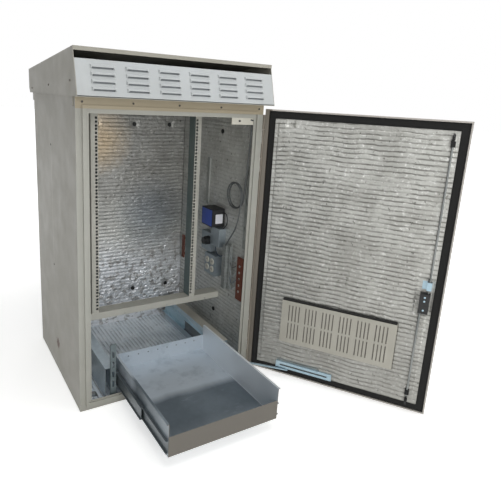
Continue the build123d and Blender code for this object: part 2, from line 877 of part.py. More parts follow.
# Power unit: a black case with a blue front plate
power_unit_front = front_y + power_unit_setback
power_unit_face = wall_face - power_unit_depth
power_unit_rear = power_unit_front + power_unit_length
power_unit_high = power_unit_low + power_unit_height
with BuildPart() as power_unit:
    slab(side(wall_face), power_unit_front, power_unit_rear, power_unit_low, power_unit_high, -power_unit_depth)
    chamfer(power_unit.edges().filter_by(Axis.X), 3.0)
    slab(side(power_unit_face), power_unit_front + 5, power_unit_rear - 5, power_unit_low + 5,
         power_unit_high - 5, -1.5)
write_part(power_unit.part, "power_unit")


def wall_box(box_front, length, low, height, depth):
    """A metal box with bevelled corners on the right wall's lining."""
    with BuildSketch(side(wall_face)) as outline:
        with Locations((box_front + length / 2, low + height / 2)):
            Rectangle(length, height)
        chamfer(outline.vertices(), wall_box_bevel)
    extrude(outline.sketch, amount=-depth)


# Meter box, the box under the round plug, and the socket box
meter_box_front = front_y + meter_box_setback
plug_box_front = front_y + plug_box_setback
socket_box_front = front_y + socket_box_setback
with BuildPart() as wall_boxes:
    wall_box(meter_box_front, meter_box_length, meter_box_low, meter_box_height, meter_box_depth)
    wall_box(plug_box_front, plug_box_length, plug_box_low, plug_box_height, plug_box_depth)
    wall_box(socket_box_front, socket_box_length, socket_box_low, socket_box_height, socket_box_depth)
write_part(wall_boxes.part, "wall_boxes")

# Four round sockets
socket_center_y = socket_box_front + socket_box_length / 2
socket_center_z = socket_box_low + socket_box_height / 2
socket_points = grid(2, 2, socket_pitch_y, socket_pitch_z, socket_center_y, socket_center_z)
with BuildPart() as wall_outlets:
    studs(side(wall_face - socket_box_depth), socket_points, socket_radius, socket_sides, -socket_rise)
write_part(wall_outlets.part, "wall_outlets")

# Dark fittings: the round plug and the row of terminals
plug_y = plug_box_front + plug_offset
plug_z = plug_box_low + plug_box_height - 38.0
plug_face = wall_face - plug_box_depth
terminal_face = wall_face - terminal_rail_depth
with BuildPart() as wall_fittings:
    discs(side(plug_face), [(plug_y, plug_z)], plug_radius, -plug_length * 0.6)
    discs(side(plug_face - plug_length * 0.6), [(plug_y, plug_z)], plug_radius * 0.8, -plug_length * 0.4)
    for i in range(terminal_count):
        z = terminal_low + i * terminal_pitch
        slab(side(terminal_face), terminal_y - terminal_width / 2, terminal_y + terminal_width / 2, z + 0.5,
             z + terminal_pitch - 0.5, -terminal_depth * 0.5)
        slab(side(terminal_face - terminal_depth * 0.5), terminal_y - terminal_width / 4,
             terminal_y + terminal_width / 4, z + 0.5, z + terminal_pitch - 0.5, -terminal_depth * 0.5)
write_part(wall_fittings.part, "wall_fittings")


def copper_bar(y, low, width, height):
    """A flat bar on two insulators."""
    bar_face = wall_face - ground_bar_standoff
    stands = [(y, low + insulator_inset), (y, low + height - insulator_inset)]
    studs(side(wall_face), stands, insulator_radius, screw_sides, -ground_bar_standoff)
    slab(side(bar_face), y - width / 2, y + width / 2, low, low + height, -ground_bar_gauge)


ground_bar_y = front_y + ground_bar_setback
rear_bar_y = rear_y - rear_bar_rear
with BuildPart() as ground_bars:
    copper_bar(ground_bar_y, ground_bar_low, ground_bar_width, ground_bar_height)
    copper_bar(rear_bar_y, rear_bar_low, rear_bar_width, rear_bar_height)
write_part(ground_bars.part, "ground_bars")

# Door switch and a sensor on an angle bracket under the header
switch_x = wall_face - switch_inset
switch_z = ceiling_face - switch_drop
sensor_x = wall_face - sensor_inset
switch_plate_left = wall_face - switch_plate_width
switch_plate_low = ceiling_face - switch_plate_height
plate_back = frame_back + 3.5
switch_depth = 24.0
with BuildPart() as door_switch:
    slab(front(plate_back), switch_plate_left, wall_face, switch_plate_low, ceiling_face, skin)
    slab(level(ceiling_face - skin), switch_plate_left, wall_face, plate_back, plate_back + 40.0, skin)
    slab(front(plate_back + switch_depth), switch_x - switch_body_side / 2, switch_x + switch_body_side / 2,
         switch_z - switch_body_side / 2, switch_z + switch_body_side / 2, switch_depth)
    discs(front(plate_back + switch_depth - 4), [(switch_x, switch_z)], switch_plunger_radius + running_fit,
          2 * switch_depth, Mode.SUBTRACT)
    slab(front(plate_back + sensor_depth), sensor_x - sensor_width / 2, sensor_x + sensor_width / 2,
         ceiling_face - sensor_height - skin, ceiling_face - skin, sensor_depth)
write_part(door_switch.part, "door_switch")

# Cable: from the sensor down beside the jamb, into a coil of two turns, and on down to the terminals
sensor_y = plate_back + sensor_depth / 2
cable_x = wall_face - cable_standoff
loop_center_y = front_y + loop_setback
coil_points = []
for index in range(2 * loop_corners + 1):
    angle = radians(180.0 + (index - 0.5) * 360.0 / loop_corners)
    reach = (loop_radius + loop_growth * index) / cos(pi / loop_corners)
    y = loop_center_y + reach * cos(angle)
    z = loop_center_z + reach * sin(angle)
    coil_points.append((cable_x - loop_step * index, y, z))
coil_end_x = coil_points[-1][0]
cable_points = [
    (sensor_x, sensor_y, ceiling_face - skin - sensor_height),
    (sensor_x, sensor_y + 2, loop_center_z + 272),
    (sensor_x + 1, sensor_y + 10, loop_center_z + 184),
    (sensor_x + 1, loop_center_y - 69, loop_center_z + 110),
    (cable_x, loop_center_y - 60, loop_center_z + 60),
    *coil_points,
    (coil_end_x, loop_center_y - 60.5, loop_center_z - 32),
    (coil_end_x, loop_center_y - 51, loop_center_z - 93),
    (coil_end_x, loop_center_y - 28, loop_center_z - 156),
    (coil_end_x + 2, terminal_y - 38, terminal_high + 49),
    (coil_end_x + 3, terminal_y - 2, terminal_high),
]


def route(points):
    """Straight runs joined by arcs that are as large as the runs allow."""
    start = Vector(*points[0])
    for before, corner, after in zip(points, points[1:], points[2:]):
        arriving = Vector(*corner) - Vector(*before)
        leaving = Vector(*after) - Vector(*corner)
        reach = bend_share * min(arriving.length, leaving.length)
        arc_start = Vector(*corner) - arriving.normalized() * reach
        arc_end = Vector(*corner) + leaving.normalized() * reach
        Line(start, arc_start)
        TangentArc(arc_start, arc_end, tangent=arriving.normalized())
        start = arc_end
    Line(start, Vector(*points[-1]))


with BuildPart() as cable_loop:
    with BuildLine() as cable_path:
        route(cable_points)
    with BuildSketch(Plane(origin=cable_points[0], z_dir=(Vector(*cable_points[1]) - Vector(*cable_points[0])))):
        RegularPolygon(cable_radius, cable_sides)
    sweep(path=cable_path.line, transition=Transition.ROUND)
write_part(cable_loop.part, "cable_loop")

with BuildPart() as switch_plunger:
    tip = door_face + switch_plunger_clearance
    tail = plate_back + switch_depth - 4 - switch_travel - 1.0
    discs(front(tail), [(switch_x, switch_z)], switch_plunger_radius, tail - tip)
    chamfer(switch_plunger.faces().sort_by(Axis.Y)[0].edges(), 1.5)
write_part(switch_plunger.part, "switch_plunger")

# Load centre box: a case under a lapped rain cap, with a cover that lifts on its upper edge
load_box_front = front_y + load_box_setback
load_box_rear = load_box_front + load_box_length
load_box_high = load_box_low + load_box_height
load_box_face = half_width + load_box_depth
cap_low = load_box_high - load_box_cap_height
with BuildPart() as load_box:
    slab(side(half_width), load_box_front, load_box_rear, load_box_low, load_box_high,
         load_box_depth - load_box_cover_gauge)
    slab(side(half_width + load_box_gauge), load_box_front + load_box_gauge, load_box_rear - load_box_gauge,
         load_box_low + load_box_gauge, load_box_high - load_box_gauge, load_box_depth, Mode.SUBTRACT)
    cap_inner = half_width + load_box_depth - load_box_cover_gauge
    shape(front(load_box_front), [(half_width, load_box_high), (load_box_face + 3, load_box_high),
                                  (load_box_face + 3, cap_low), (load_box_face, cap_low),
                                  (load_box_face, load_box_high - 3), (half_width, load_box_high - 3)], 3.0)
    slab(side(load_box_face), load_box_front - 3, load_box_rear + 3, cap_low, load_box_high, 3.0)
    slab(level(load_box_high - 3), half_width, load_box_face, load_box_front - 3, load_box_rear + 3, 3.0)
    shape(front(load_box_rear + 3), [(half_width, load_box_high), (load_box_face + 3, load_box_high),
                                     (load_box_face + 3, cap_low), (load_box_face, cap_low),
                                     (load_box_face, load_box_high - 3), (half_width, load_box_high - 3)], 3.0)
    shape(front(load_box_front), [(half_width, load_box_high), (load_box_face + 3, load_box_high),
                                  (load_box_face + 3, cap_low), (half_width, load_box_high - 14)], 3.0)
    discs(level(load_box_high - 3), [(half_width + 58, load_box_front + 128)], hub_bore, 6.0, Mode.SUBTRACT)
    hub = (half_width + 58, load_box_front + 128)
    tube(level(load_box_high), hub[0], hub[1], hub_radius, hub_bore, hub_height)
write_part(load_box.part, "load_box")

cover_high = cap_low - 1.0
with BuildPart() as load_box_cover:
    cover_back = half_width + load_box_depth - load_box_cover_gauge
    slab(side(cover_back + 0.3), load_box_front, load_box_rear, load_box_low, cover_high,
         load_box_cover_gauge - 0.6)
    slab(side(cover_back + 0.3), load_box_front + 2, load_box_rear - 2, load_box_low + 2, cover_high - 2,
         load_box_cover_gauge - 2.6, Mode.SUBTRACT)
    slab(level(load_box_low - 14), cover_back + 2, load_box_face - 0.3, load_box_front + 110,
         load_box_front + 140, 16.0)
write_part(load_box_cover.part, "load_box_cover")

# Breakers behind the load centre's cover
with BuildPart() as breakers:
    slab(side(half_width + load_box_gauge), load_box_front + 60, load_box_rear - 60, load_box_low + 60,
         cap_low - 60, 60.0)
write_part(breakers.part, "breakers")

# Lower box: a case with a sloping cap and a cover hinged at its rear edge
lower_box_front = front_y + lower_box_setback
lower_box_rear = lower_box_front + lower_box_length
lower_box_high = lower_box_low + lower_box_height
tub_depth = lower_box_depth - lower_box_cover_depth
lower_box_face = half_width + lower_box_depth
cap_front_z = lower_box_high - lower_box_cap_drop
with BuildPart() as lower_box:
    slab(side(half_width), lower_box_front, lower_box_rear, lower_box_low, cap_front_z, tub_depth)
    shape(front(lower_box_front), [(half_width, cap_front_z), (half_width + tub_depth, cap_front_z),
                                   (half_width + tub_depth, cap_front_z + 1), (half_width, lower_box_high)],
          -lower_box_length)
    slab(side(half_width + lower_box_gauge), lower_box_front + lower_box_gauge, lower_box_rear - lower_box_gauge,
         lower_box_low + lower_box_gauge, cap_front_z - lower_box_gauge, lower_box_depth, Mode.SUBTRACT)
write_part(lower_box.part, "lower_box")

with BuildPart() as lower_box_cover:
    cover_back = half_width + tub_depth + 0.3
    slab(side(cover_back), lower_box_front, lower_box_rear, lower_box_low, cap_front_z,
         lower_box_cover_depth - 0.3)
    fillet(lower_box_cover.faces().sort_by(Axis.X)[-1].edges(), 4.0)
    slab(side(cover_back), lower_box_front + 2, lower_box_rear - 2, lower_box_low + 2, cap_front_z - 2,
         lower_box_cover_depth - 2.3, Mode.SUBTRACT)
write_part(lower_box_cover.part, "lower_box_cover")

# Power inlet: a box with bevelled corners, a flange, a round sleeve and two ears for its sprung flap
inlet_box_front = front_y + inlet_box_setback
inlet_rear = inlet_box_front + inlet_box_length
inlet_high = inlet_box_low + inlet_box_height
inlet_y = inlet_box_front + inlet_box_length / 2
inlet_z = inlet_box_low + inlet_box_height / 2
inlet_flange_x = half_width + inlet_box_depth
sleeve_start = inlet_flange_x + inlet_flange_gauge
sleeve_end = sleeve_start + inlet_sleeve_length
flap_pin_x = sleeve_end - 5.0
flap_pin_z = inlet_z + inlet_radius + flap_knuckle_radius + 1.0
with BuildPart() as inlet_box:
    slab(side(half_width), inlet_box_front, inlet_rear, inlet_box_low, inlet_high, inlet_box_depth)
    chamfer(inlet_box.edges().filter_by(Axis.X), 14.0)
    for ear_z in (inlet_box_low + 18, inlet_high - 18):
        slab(side(half_width), inlet_box_front - 14, inlet_box_front + 4, ear_z - 9, ear_z + 9, 4.0)
    slab(side(inlet_flange_x), inlet_box_front, inlet_rear, inlet_box_low, inlet_high, inlet_flange_gauge)
    discs(side(sleeve_start), [(inlet_y, inlet_z)], inlet_radius, inlet_sleeve_length)
    for ear_y in (inlet_y - flap_knuckle_width / 2 - 1, inlet_y + flap_knuckle_width / 2 + 1 + flap_ear):
        slab(side(sleeve_start), ear_y - flap_ear, ear_y, inlet_z + inlet_radius - 5, flap_pin_z + 4,
             inlet_sleeve_length - 1.5)
    discs(side(sleeve_end), [(inlet_y, inlet_z)], inlet_bore, -inlet_sleeve_length - inlet_box_depth + 12,
          Mode.SUBTRACT)
    pin_reach = flap_knuckle_width / 2 + 1 + flap_ear
    discs(front(inlet_y + pin_reach), [(flap_pin_x, flap_pin_z)], flap_pin_radius, 2 * pin_reach)
write_part(inlet_box.part, "inlet_box")

with BuildPart() as inlet_flap:
    discs(side(sleeve_end + 0.4), [(inlet_y, inlet_z)], inlet_radius + 2, flap_gauge)
    slab(side(sleeve_end + 0.4), inlet_y - flap_knuckle_width / 2, inlet_y + flap_knuckle_width / 2,
         inlet_z + inlet_radius - 8, flap_pin_z + flap_knuckle_radius, flap_gauge)
    slab(side(flap_pin_x), inlet_y - flap_knuckle_width / 2, inlet_y + flap_knuckle_width / 2, flap_pin_z,
         flap_pin_z + flap_knuckle_radius, sleeve_end + 0.4 - flap_pin_x)
    discs(front(inlet_y + flap_knuckle_width / 2), [(flap_pin_x, flap_pin_z)], flap_knuckle_radius,
          flap_knuckle_width)
    discs(front(inlet_y + flap_knuckle_width / 2), [(flap_pin_x, flap_pin_z)], flap_pin_radius + running_fit,
          flap_knuckle_width, Mode.SUBTRACT)
write_part(inlet_flap.part, "inlet_flap")

# Small rear box with a lapped cap and a hasp tab, and the clipped conduit that rises from it
rear_box_rear = rear_y - rear_box_rear_gap
rear_box_front = rear_box_rear - rear_box_length
riser_y = rear_y - riser_rear
rear_box_high = rear_box_low + rear_box_height
riser_x = half_width + riser_radius + 2.4
riser_low = rear_box_high + 3
with BuildPart() as rear_box:
    slab(side(half_width), rear_box_front, rear_box_rear, rear_box_low, rear_box_high, rear_box_depth)
    slab(side(half_width), rear_box_front - 3, rear_box_rear + 3, rear_box_high - rear_box_cap_height,
         riser_low, rear_box_depth + 4)
    slab(level(rear_box_low - 18), half_width + rear_box_depth - 16, half_width + rear_box_depth - 12,
         rear_box_front + 60, rear_box_front + 84, 18.0)
    slab(level(rear_box_low - 18), half_width + rear_box_depth - 16, half_width + rear_box_depth + 4,
         rear_box_front + 60, rear_box_front + 84, 4.0)
    discs(level(riser_low), [(riser_x, riser_y)], riser_radius, riser_high - riser_low)
    for z in (riser_high - 40, (riser_low + riser_high) / 2):
        slab(side(half_width), riser_y - 24, riser_y + 24, z - 9, z + 9, 3.0)
        studs(level(z - 9), [(riser_x, riser_y)], riser_radius + 2.5, riser_clip_sides, 18.0)
    discs(level(sleeve_low), [(riser_x, riser_y)], riser_radius + 2, sleeve_height)
write_part(rear_box.part, "rear_box")

# Screw heads: five in the header, four in the lower bar, and those of the hood, walls and ground bar
header_screw_pitch = (body_width - 2 * header_screw_edge) / 4
header_screws = [(i * header_screw_pitch, body_height - header_screw_drop) for i in range(-2, 3)]
bar_screw_pitch = (2 * wall_face - bar_screw_left - bar_screw_right) / 3
bar_screws = [(-wall_face + bar_screw_left + i * bar_screw_pitch, bar_low + bar_screw_rise) for i in range(4)]
cheek_screw_pitch = body_depth / 2 - cheek_screw_edge
cheek_screws = [(i * cheek_screw_pitch, body_height + cheek_screw_rise - i * cheek_screw_fall)
                for i in (-1, 0, 1)]
wall_screws = [(rear_y - wall_screw_rear - i * wall_screw_pitch, body_height - wall_screw_drop) for i in (0, 1)]
ground_screws = grid(1, ground_screw_count, 0, ground_screw_pitch, ground_bar_y,
                     ground_bar_low + ground_bar_height / 2)
with BuildPart() as case_screws:
    studs(front(front_y), header_screws, screw_radius, screw_sides, screw_height)
    studs(front(rack_plane_y - skin), bar_screws, screw_radius, screw_sides, screw_height)
    studs(side(hood_half), cheek_screws, screw_radius, screw_sides, screw_height)
    studs(side(-hood_half), cheek_screws, screw_radius, screw_sides, -screw_height)
    studs(side(half_width), wall_screws, screw_radius, screw_sides, screw_height)
    studs(side(wall_face - ground_bar_standoff - ground_bar_gauge), ground_screws, ground_screw_radius,
          screw_sides, -screw_height)
write_part(case_screws.part, "case_screws")

# Door panel: a shallow pan with rounded edges, a wide return at the hinge and pressed louvres
door_louvre_points = grid(door_louvre_columns, door_louvre_rows, door_louvre_pitch_x, door_louvre_pitch_z,
                          door_louvre_center_x, door_louvre_center_z)
with BuildPart() as door_panel:
    slab(front(door_back, swing), -half_width, half_width, door_low, door_high, door_depth)
    outer_edges = door_panel.faces().sort_by(SortBy.AREA)[-2:]
    outer_face = outer_edges.sort_by(lambda face: face.distance_to(Vector(0, 0, body_height / 2)))[-1]
    fillet(outer_face.edges(), door_edge_radius)
    slab(front(door_back, swing), -half_width + skin, half_width - skin, door_low + skin, door_high - skin,
         door_depth - skin, Mode.SUBTRACT)
    slab(front(door_back, swing), -half_width + skin, half_width - skin, door_low + skin, door_high - skin, skin)
    slab(front(door_back, swing), -half_width + door_return, half_width - door_hinge_return,
         door_low + door_return, door_high - door_return, skin, Mode.SUBTRACT)
    louvres(front(door_front, swing), front(door_skin_back, swing), door_louvre_points, door_louvre_length,
            door_louvre_height)
    discs(front(door_skin_back, swing), [(latch_x, latch_z)], spindle_radius + 1, skin, Mode.SUBTRACT)
write_part(door_panel.part, "door_panel")

# Gasket: a foam ring that meets the frame's lip
gasket_left = -half_width + gasket_inset
gasket_right = half_width - door_hinge_return - 2.0
gasket_low = door_low + gasket_inset
gasket_high = door_high - gasket_inset
gasket_depth = gasket_face - door_skin_back
with BuildPart() as door_gasket:
    slab(front(gasket_face, swing), gasket_left, gasket_right, gasket_low, gasket_high, gasket_depth)
    slab(front(gasket_face, swing), gasket_left + gasket_width, gasket_right - gasket_width,
         gasket_low + gasket_width, gasket_high - gasket_width, gasket_depth, Mode.SUBTRACT)
write_part(door_gasket.part, "door_gasket")

# Foil-faced board on the door, cut away behind the filter
board_left = gasket_left + gasket_width + lining_gap
board_right = gasket_right - gasket_width - lining_gap
board_low = gasket_low + gasket_width + lining_gap
board_high = gasket_high - gasket_width - lining_gap
filter_left = filter_center_x - filter_width / 2
filter_right = filter_center_x + filter_width / 2
filter_high = filter_low + filter_height
with BuildPart() as door_lining:
    flat = Plane(origin=(board_left, door_skin_back, board_low), x_dir=(0, 1, 0), z_dir=(1, 0, 0))
    ribbed(Plane(swing * flat.location), door_face - door_skin_back, board_high - board_low,
           board_right - board_left)
    slab(front(door_face, swing), filter_left + 12, filter_right - 12, filter_low + 6, filter_high - 16,
         door_face - door_skin_back, Mode.SUBTRACT)
    discs(front(door_face, swing), [(latch_x, latch_z)], spindle_radius + 4, door_face - door_skin_back,
          Mode.SUBTRACT)
write_part(door_lining.part, "door_lining")

# Filter cover: slotted front, closed sides and bottom, open at the top for the pad
cover_front = door_face + filter_depth
group_pitch = (filter_width - 40) / 6
slot_pitch = group_pitch / 5
filter_slots = []
for group in range(6):
    group_x = filter_left + 20 + (group + 0.5) * group_pitch
    for step in range(4):
        for row in range(2):
            slot_z = filter_low + 22 + filter_slot_height / 2 + row * (filter_slot_height + 10)
            filter_slots.append((group_x + (step - 1.5) * slot_pitch, slot_z))
with BuildPart() as filter_cover:
    slab(front(cover_front, swing), filter_left, filter_right, filter_low, filter_high, filter_depth)
    slab(front(cover_front - filter_gauge, swing), filter_left + filter_gauge, filter_right - filter_gauge,
         filter_low + filter_gauge, filter_high + 1, filter_depth, Mode.SUBTRACT)
    slots(front(cover_front, swing), filter_slots, filter_slot_width, filter_slot_height, filter_gauge)
write_part(filter_cover.part, "filter_cover")

with BuildPart() as filter_pad:
    slab(front(cover_front - filter_gauge - 1, swing), filter_left + filter_gauge + 0.5,
         filter_right - filter_gauge - 0.5, filter_low + filter_gauge + 0.5, filter_high + filter_pad_rise,
         filter_depth - filter_gauge - 1)
write_part(filter_pad.part, "filter_pad")

# Piano hinge: two leaves with alternate knuckles and one long pin
knuckle_pitch = knuckle_length + knuckle_gap
knuckle_count = int((door_high - hinge_low - hinge_end) / knuckle_pitch)
hinge_high = hinge_low + knuckle_count * knuckle_pitch - knuckle_gap
notch_y = knuckle_radius + knuckle_notch


def hinge_leaf(plane_at, sign, first, far_edge):
    """A leaf on the side of the door or body, whose own knuckles start at the first one given."""
    near = hinge_y + sign * notch_y
    slab(plane_at(hinge_low), half_width, half_width + leaf_gauge, min(near, far_edge), max(near, far_edge),
         hinge_high - hinge_low)
    for index in range(first, knuckle_count, 2):
        low = hinge_low + index * knuckle_pitch
        slab(plane_at(low), half_width, half_width + leaf_gauge, min(hinge_y, near), max(hinge_y, near),
             knuckle_length)
        discs(plane_at(low), [(hinge_x, hinge_y)], knuckle_radius, knuckle_length)
        discs(plane_at(low), [(hinge_x, hinge_y)], hinge_pin_radius + running_fit, knuckle_length,
              Mode.SUBTRACT)


with BuildPart() as hinge_leaf_frame:
    hinge_leaf(lambda z: level(z), 1, 0, hinge_y + leaf_width)
write_part(hinge_leaf_frame.part, "hinge_leaf_frame")

with BuildPart() as hinge_leaf_door:
    hinge_leaf(lambda z: level(z, swing), -1, 1, hinge_y - leaf_width)
write_part(hinge_leaf_door.part, "hinge_leaf_door")

with BuildPart() as hinge_pin:
    discs(level(hinge_low), [(hinge_x, hinge_y)], hinge_pin_radius, hinge_high - hinge_low)
write_part(hinge_pin.part, "hinge_pin")

# Latch housing on the door's inner face, with the rods passing through it beside the spindle
latch_back = door_face
latch_front = door_face + latch_depth
latch_left = latch_x - latch_width / 2
latch_right = latch_x + latch_width / 2
latch_low = latch_z - latch_height / 2
latch_high = latch_z + latch_height / 2
with BuildPart() as latch_housing:
    slab(front(latch_front, swing), latch_left, latch_right, latch_low, latch_high, latch_depth)
    slab(front(latch_front - latch_wall, swing), latch_left + latch_wall, latch_right - latch_wall,
         latch_low + latch_wall, latch_high - latch_wall, latch_depth, Mode.SUBTRACT)
    for rod_x, low in ((upper_rod_x, latch_high - 2 * latch_wall), (lower_rod_x, latch_low - latch_wall)):
        discs(level(low, swing), [(rod_x, rod_y)], rod_radius + 0.5, 3 * latch_wall, Mode.SUBTRACT)
write_part(latch_housing.part, "latch_housing")


def latch_rod(rod_x, near_z, roller_z, upward):
    """A round rod that ends in a fork with the pin for its roller."""
    fork_half = roller_width / 2 + fork_wall
    fork_base = roller_z - upward * (roller_radius + 7)
    fork_tip = roller_z + upward * 4
    discs(level(min(near_z, fork_base), swing), [(rod_x, rod_y)], rod_radius, abs(near_z - fork_base))
    slab(front(roller_y + 4, swing), rod_x - fork_half, rod_x + fork_half, min(fork_base, fork_tip),
         max(fork_base, fork_tip), roller_y + 4 - (rod_y - rod_radius + 0.5))
    slot_base = roller_z - upward * (roller_radius + 1)
    slot_tip = fork_tip + upward
    slab(front(roller_y + 5, swing), rod_x - roller_width / 2 - 0.2, rod_x + roller_width / 2 + 0.2,
         min(slot_base, slot_tip), max(slot_base, slot_tip), 2 * roller_radius, Mode.SUBTRACT)
    discs(side(rod_x - fork_half, swing), [(roller_y, roller_z)], roller_pin_radius, 2 * fork_half)


with BuildPart() as rod_upper:
    latch_rod(upper_rod_x, latch_z - 14, upper_roller_z, 1)
write_part(rod_upper.part, "rod_upper")

with BuildPart() as rod_lower:
    latch_rod(lower_rod_x, latch_z + 14, lower_roller_z, -1)
write_part(rod_lower.part, "rod_lower")

for name, rod_x, roller_z in (("upper", upper_rod_x, upper_roller_z), ("lower", lower_rod_x, lower_roller_z)):
    with BuildPart() as roller:
        with BuildSketch(side(rod_x - roller_width / 2, swing)) as outline:
            with Locations((roller_y, roller_z)):
                Circle(roller_radius)
                Circle(roller_pin_radius + running_fit, mode=Mode.SUBTRACT)
        extrude(outline.sketch, amount=roller_width)
    write_part(roller.part, f"roller_{name}")

# Guides that hold the rods near their ends, and a bent bracket over the upper rod above the latch
bracket_low = latch_high + 14.0
upper_guide_z = upper_roller_z - roller_radius - 10 - guide_height
lower_guide_z = lower_roller_z + roller_radius + 10 + rod_travel
with BuildPart() as rod_guides:
    slab(front(door_face + 20, swing), upper_rod_x - 9, upper_rod_x + 26, bracket_low, bracket_low + 34, 20.0)
    slab(front(door_face + 18.5, swing), upper_rod_x - 7.5, upper_rod_x + 8, bracket_low - 1, bracket_low + 35,
         18.5, Mode.SUBTRACT)
    slab(front(door_face + 21, swing), upper_rod_x + 9, upper_rod_x + 27, bracket_low - 1, bracket_low + 35,
         18.5, Mode.SUBTRACT)
    for rod_x, low in ((upper_rod_x, upper_guide_z), (lower_rod_x, lower_guide_z)):
        slab(front(door_face + guide_depth, swing), rod_x - guide_half, rod_x + guide_half, low,
             low + guide_height, guide_depth)
        discs(level(low, swing), [(rod_x, rod_y)], rod_radius + 0.3, guide_height, Mode.SUBTRACT)
write_part(rod_guides.part, "rod_guides")

# Swing handle on the outside: base plate, turning boss with its spindle, and the lever
handle_base_center = latch_z + handle_base_height / 2 - 60
with BuildPart() as handle_base:
    slab(front(door_front, swing), latch_x - handle_base_width / 2, latch_x + handle_base_width / 2,
         handle_base_center - handle_base_height / 2, handle_base_center + handle_base_height / 2,
         handle_base_gauge)
    discs(front(door_front, swing), [(latch_x, latch_z)], spindle_radius + 1, handle_base_gauge, Mode.SUBTRACT)
write_part(handle_base.part, "handle_base")

boss_back = door_front - handle_base_gauge - handle_gap
boss_front = boss_back - handle_boss_depth
spindle_end = latch_front - latch_wall - 1.0
lever_back = boss_front - handle_gap
lever_pivot_y = lever_back - handle_depth / 2
ear_reach = handle_width / 2 + handle_gap + handle_ear
with BuildPart() as handle_boss:
    discs(front(boss_back, swing), [(latch_x, latch_z)], handle_boss_radius, handle_boss_depth)
    discs(front(spindle_end, swing), [(latch_x, latch_z)], spindle_radius, spindle_end - boss_back)
    for ear in (-1, 1):
        ear_z = latch_z + ear * (ear_reach - handle_ear / 2)
        slab(front(boss_front, swing), latch_x - 6, latch_x + 6, ear_z - handle_ear / 2, ear_z + handle_ear / 2,
             handle_depth)
    discs(level(latch_z - ear_reach, swing), [(latch_x, lever_pivot_y)], handle_pin_radius, 2 * ear_reach)
write_part(handle_boss.part, "handle_boss")

# At rest the lever lies across the door, as it does when the latch is open. Its root is rounded
# about the cross pin, so it can be lifted off the door before it is turned.
with BuildPart() as handle_lever:
    with BuildSketch(front(lever_back, swing)) as grip:
        with BuildLine():
            Polyline(
                (latch_x, latch_z - handle_width / 2),
                (latch_x + 30, latch_z - handle_width / 2),
                (latch_x + handle_length, latch_z - handle_width / 2 + 3),
                (latch_x + handle_length, latch_z + handle_width / 2 - 3),
                (latch_x + 30, latch_z + handle_width / 2),
                (latch_x, latch_z + handle_width / 2),
                close=True,
            )
        make_face()
    extrude(grip.sketch, amount=handle_depth)
    discs(level(latch_z - handle_width / 2, swing), [(latch_x, lever_pivot_y)], handle_depth / 2, handle_width)
    discs(level(latch_z - handle_width / 2, swing), [(latch_x, lever_pivot_y)], handle_pin_radius + running_fit,
          handle_width, Mode.SUBTRACT)
write_part(handle_lever.part, "handle_lever")

# Stay: a channel on the door's foot and the arm that slides in it from a bracket on the sill
with BuildPart() as stay_channel:
    channel_front = door_face + stay_depth
    slab(front(channel_front, swing), stay_x_low, stay_x_high, stay_low, stay_low + stay_height, stay_depth)
    slab(front(channel_front - stay_gauge, swing), stay_x_low - 1, stay_x_high + 1, stay_low + stay_gauge,
         stay_low + stay_height - stay_gauge, stay_depth, Mode.SUBTRACT)
    slab(front(channel_front, swing), stay_x_low + 20, stay_x_high - 20, stay_low + 11, stay_low + 18, stay_gauge,
         Mode.SUBTRACT)
write_part(stay_channel.part, "stay_channel")

stay_arm_top = stay_low - stay_arm_gap
stay_arm_low = stay_arm_top - stay_arm_gauge
with BuildPart() as stay_bracket:
    plate_top = stay_arm_low - slide_gap
    slab(front(frame_back + skin), stay_pivot_x - 14, stay_pivot_x + 14, plate_top - 20, plate_top, skin)
    slab(level(plate_top - skin), stay_pivot_x - 14, stay_pivot_x + 14, frame_back, stay_pivot_y + 10, skin)
    discs(level(plate_top), [(stay_pivot_x, stay_pivot_y)], stay_pin_radius, stay_arm_gauge + 2)
write_part(stay_bracket.part, "stay_bracket")

arm_turn = Location((stay_pivot_x, stay_pivot_y, 0), (0, 0, stay_arm_rest_angle))
with BuildPart() as stay_arm:
    with BuildSketch(level(stay_arm_low, arm_turn)) as arm:
        with Locations((stay_arm_length / 2, 0)):
            SlotOverall(stay_arm_length + stay_arm_width, stay_arm_width)
        Circle(stay_pin_radius + running_fit, mode=Mode.SUBTRACT)
    extrude(arm.sketch, amount=stay_arm_gauge)
    discs(level(stay_arm_top, arm_turn), [(stay_arm_length, 0)], stay_pin_radius, stay_arm_gap * 0.6)
write_part(stay_arm.part, "stay_arm")
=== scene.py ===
# %% [markdown]
# # A roadside cabinet, dressed over its CAD frame
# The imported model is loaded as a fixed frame. Every surface then gets a procedural material, and the
# crumpled foil, the wiring and the small trim are built as pieces that ride on the CAD bodies.

# %%
import json
import math

import bmesh
import bpy
from mathutils import Matrix, Vector, noise


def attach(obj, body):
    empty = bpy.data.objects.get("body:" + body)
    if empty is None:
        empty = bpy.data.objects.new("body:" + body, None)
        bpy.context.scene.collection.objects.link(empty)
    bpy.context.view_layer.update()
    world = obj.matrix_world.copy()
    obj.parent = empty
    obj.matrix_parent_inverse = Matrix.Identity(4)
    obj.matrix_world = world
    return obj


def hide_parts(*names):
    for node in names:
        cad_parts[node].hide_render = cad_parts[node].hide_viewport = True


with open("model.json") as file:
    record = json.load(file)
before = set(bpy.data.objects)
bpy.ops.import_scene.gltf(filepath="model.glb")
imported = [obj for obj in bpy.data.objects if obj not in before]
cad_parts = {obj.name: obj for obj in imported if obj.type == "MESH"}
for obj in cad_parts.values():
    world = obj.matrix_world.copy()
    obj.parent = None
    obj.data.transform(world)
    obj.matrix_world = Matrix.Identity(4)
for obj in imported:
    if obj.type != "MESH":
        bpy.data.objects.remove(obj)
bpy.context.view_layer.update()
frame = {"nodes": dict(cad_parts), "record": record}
nodes = frame["nodes"]

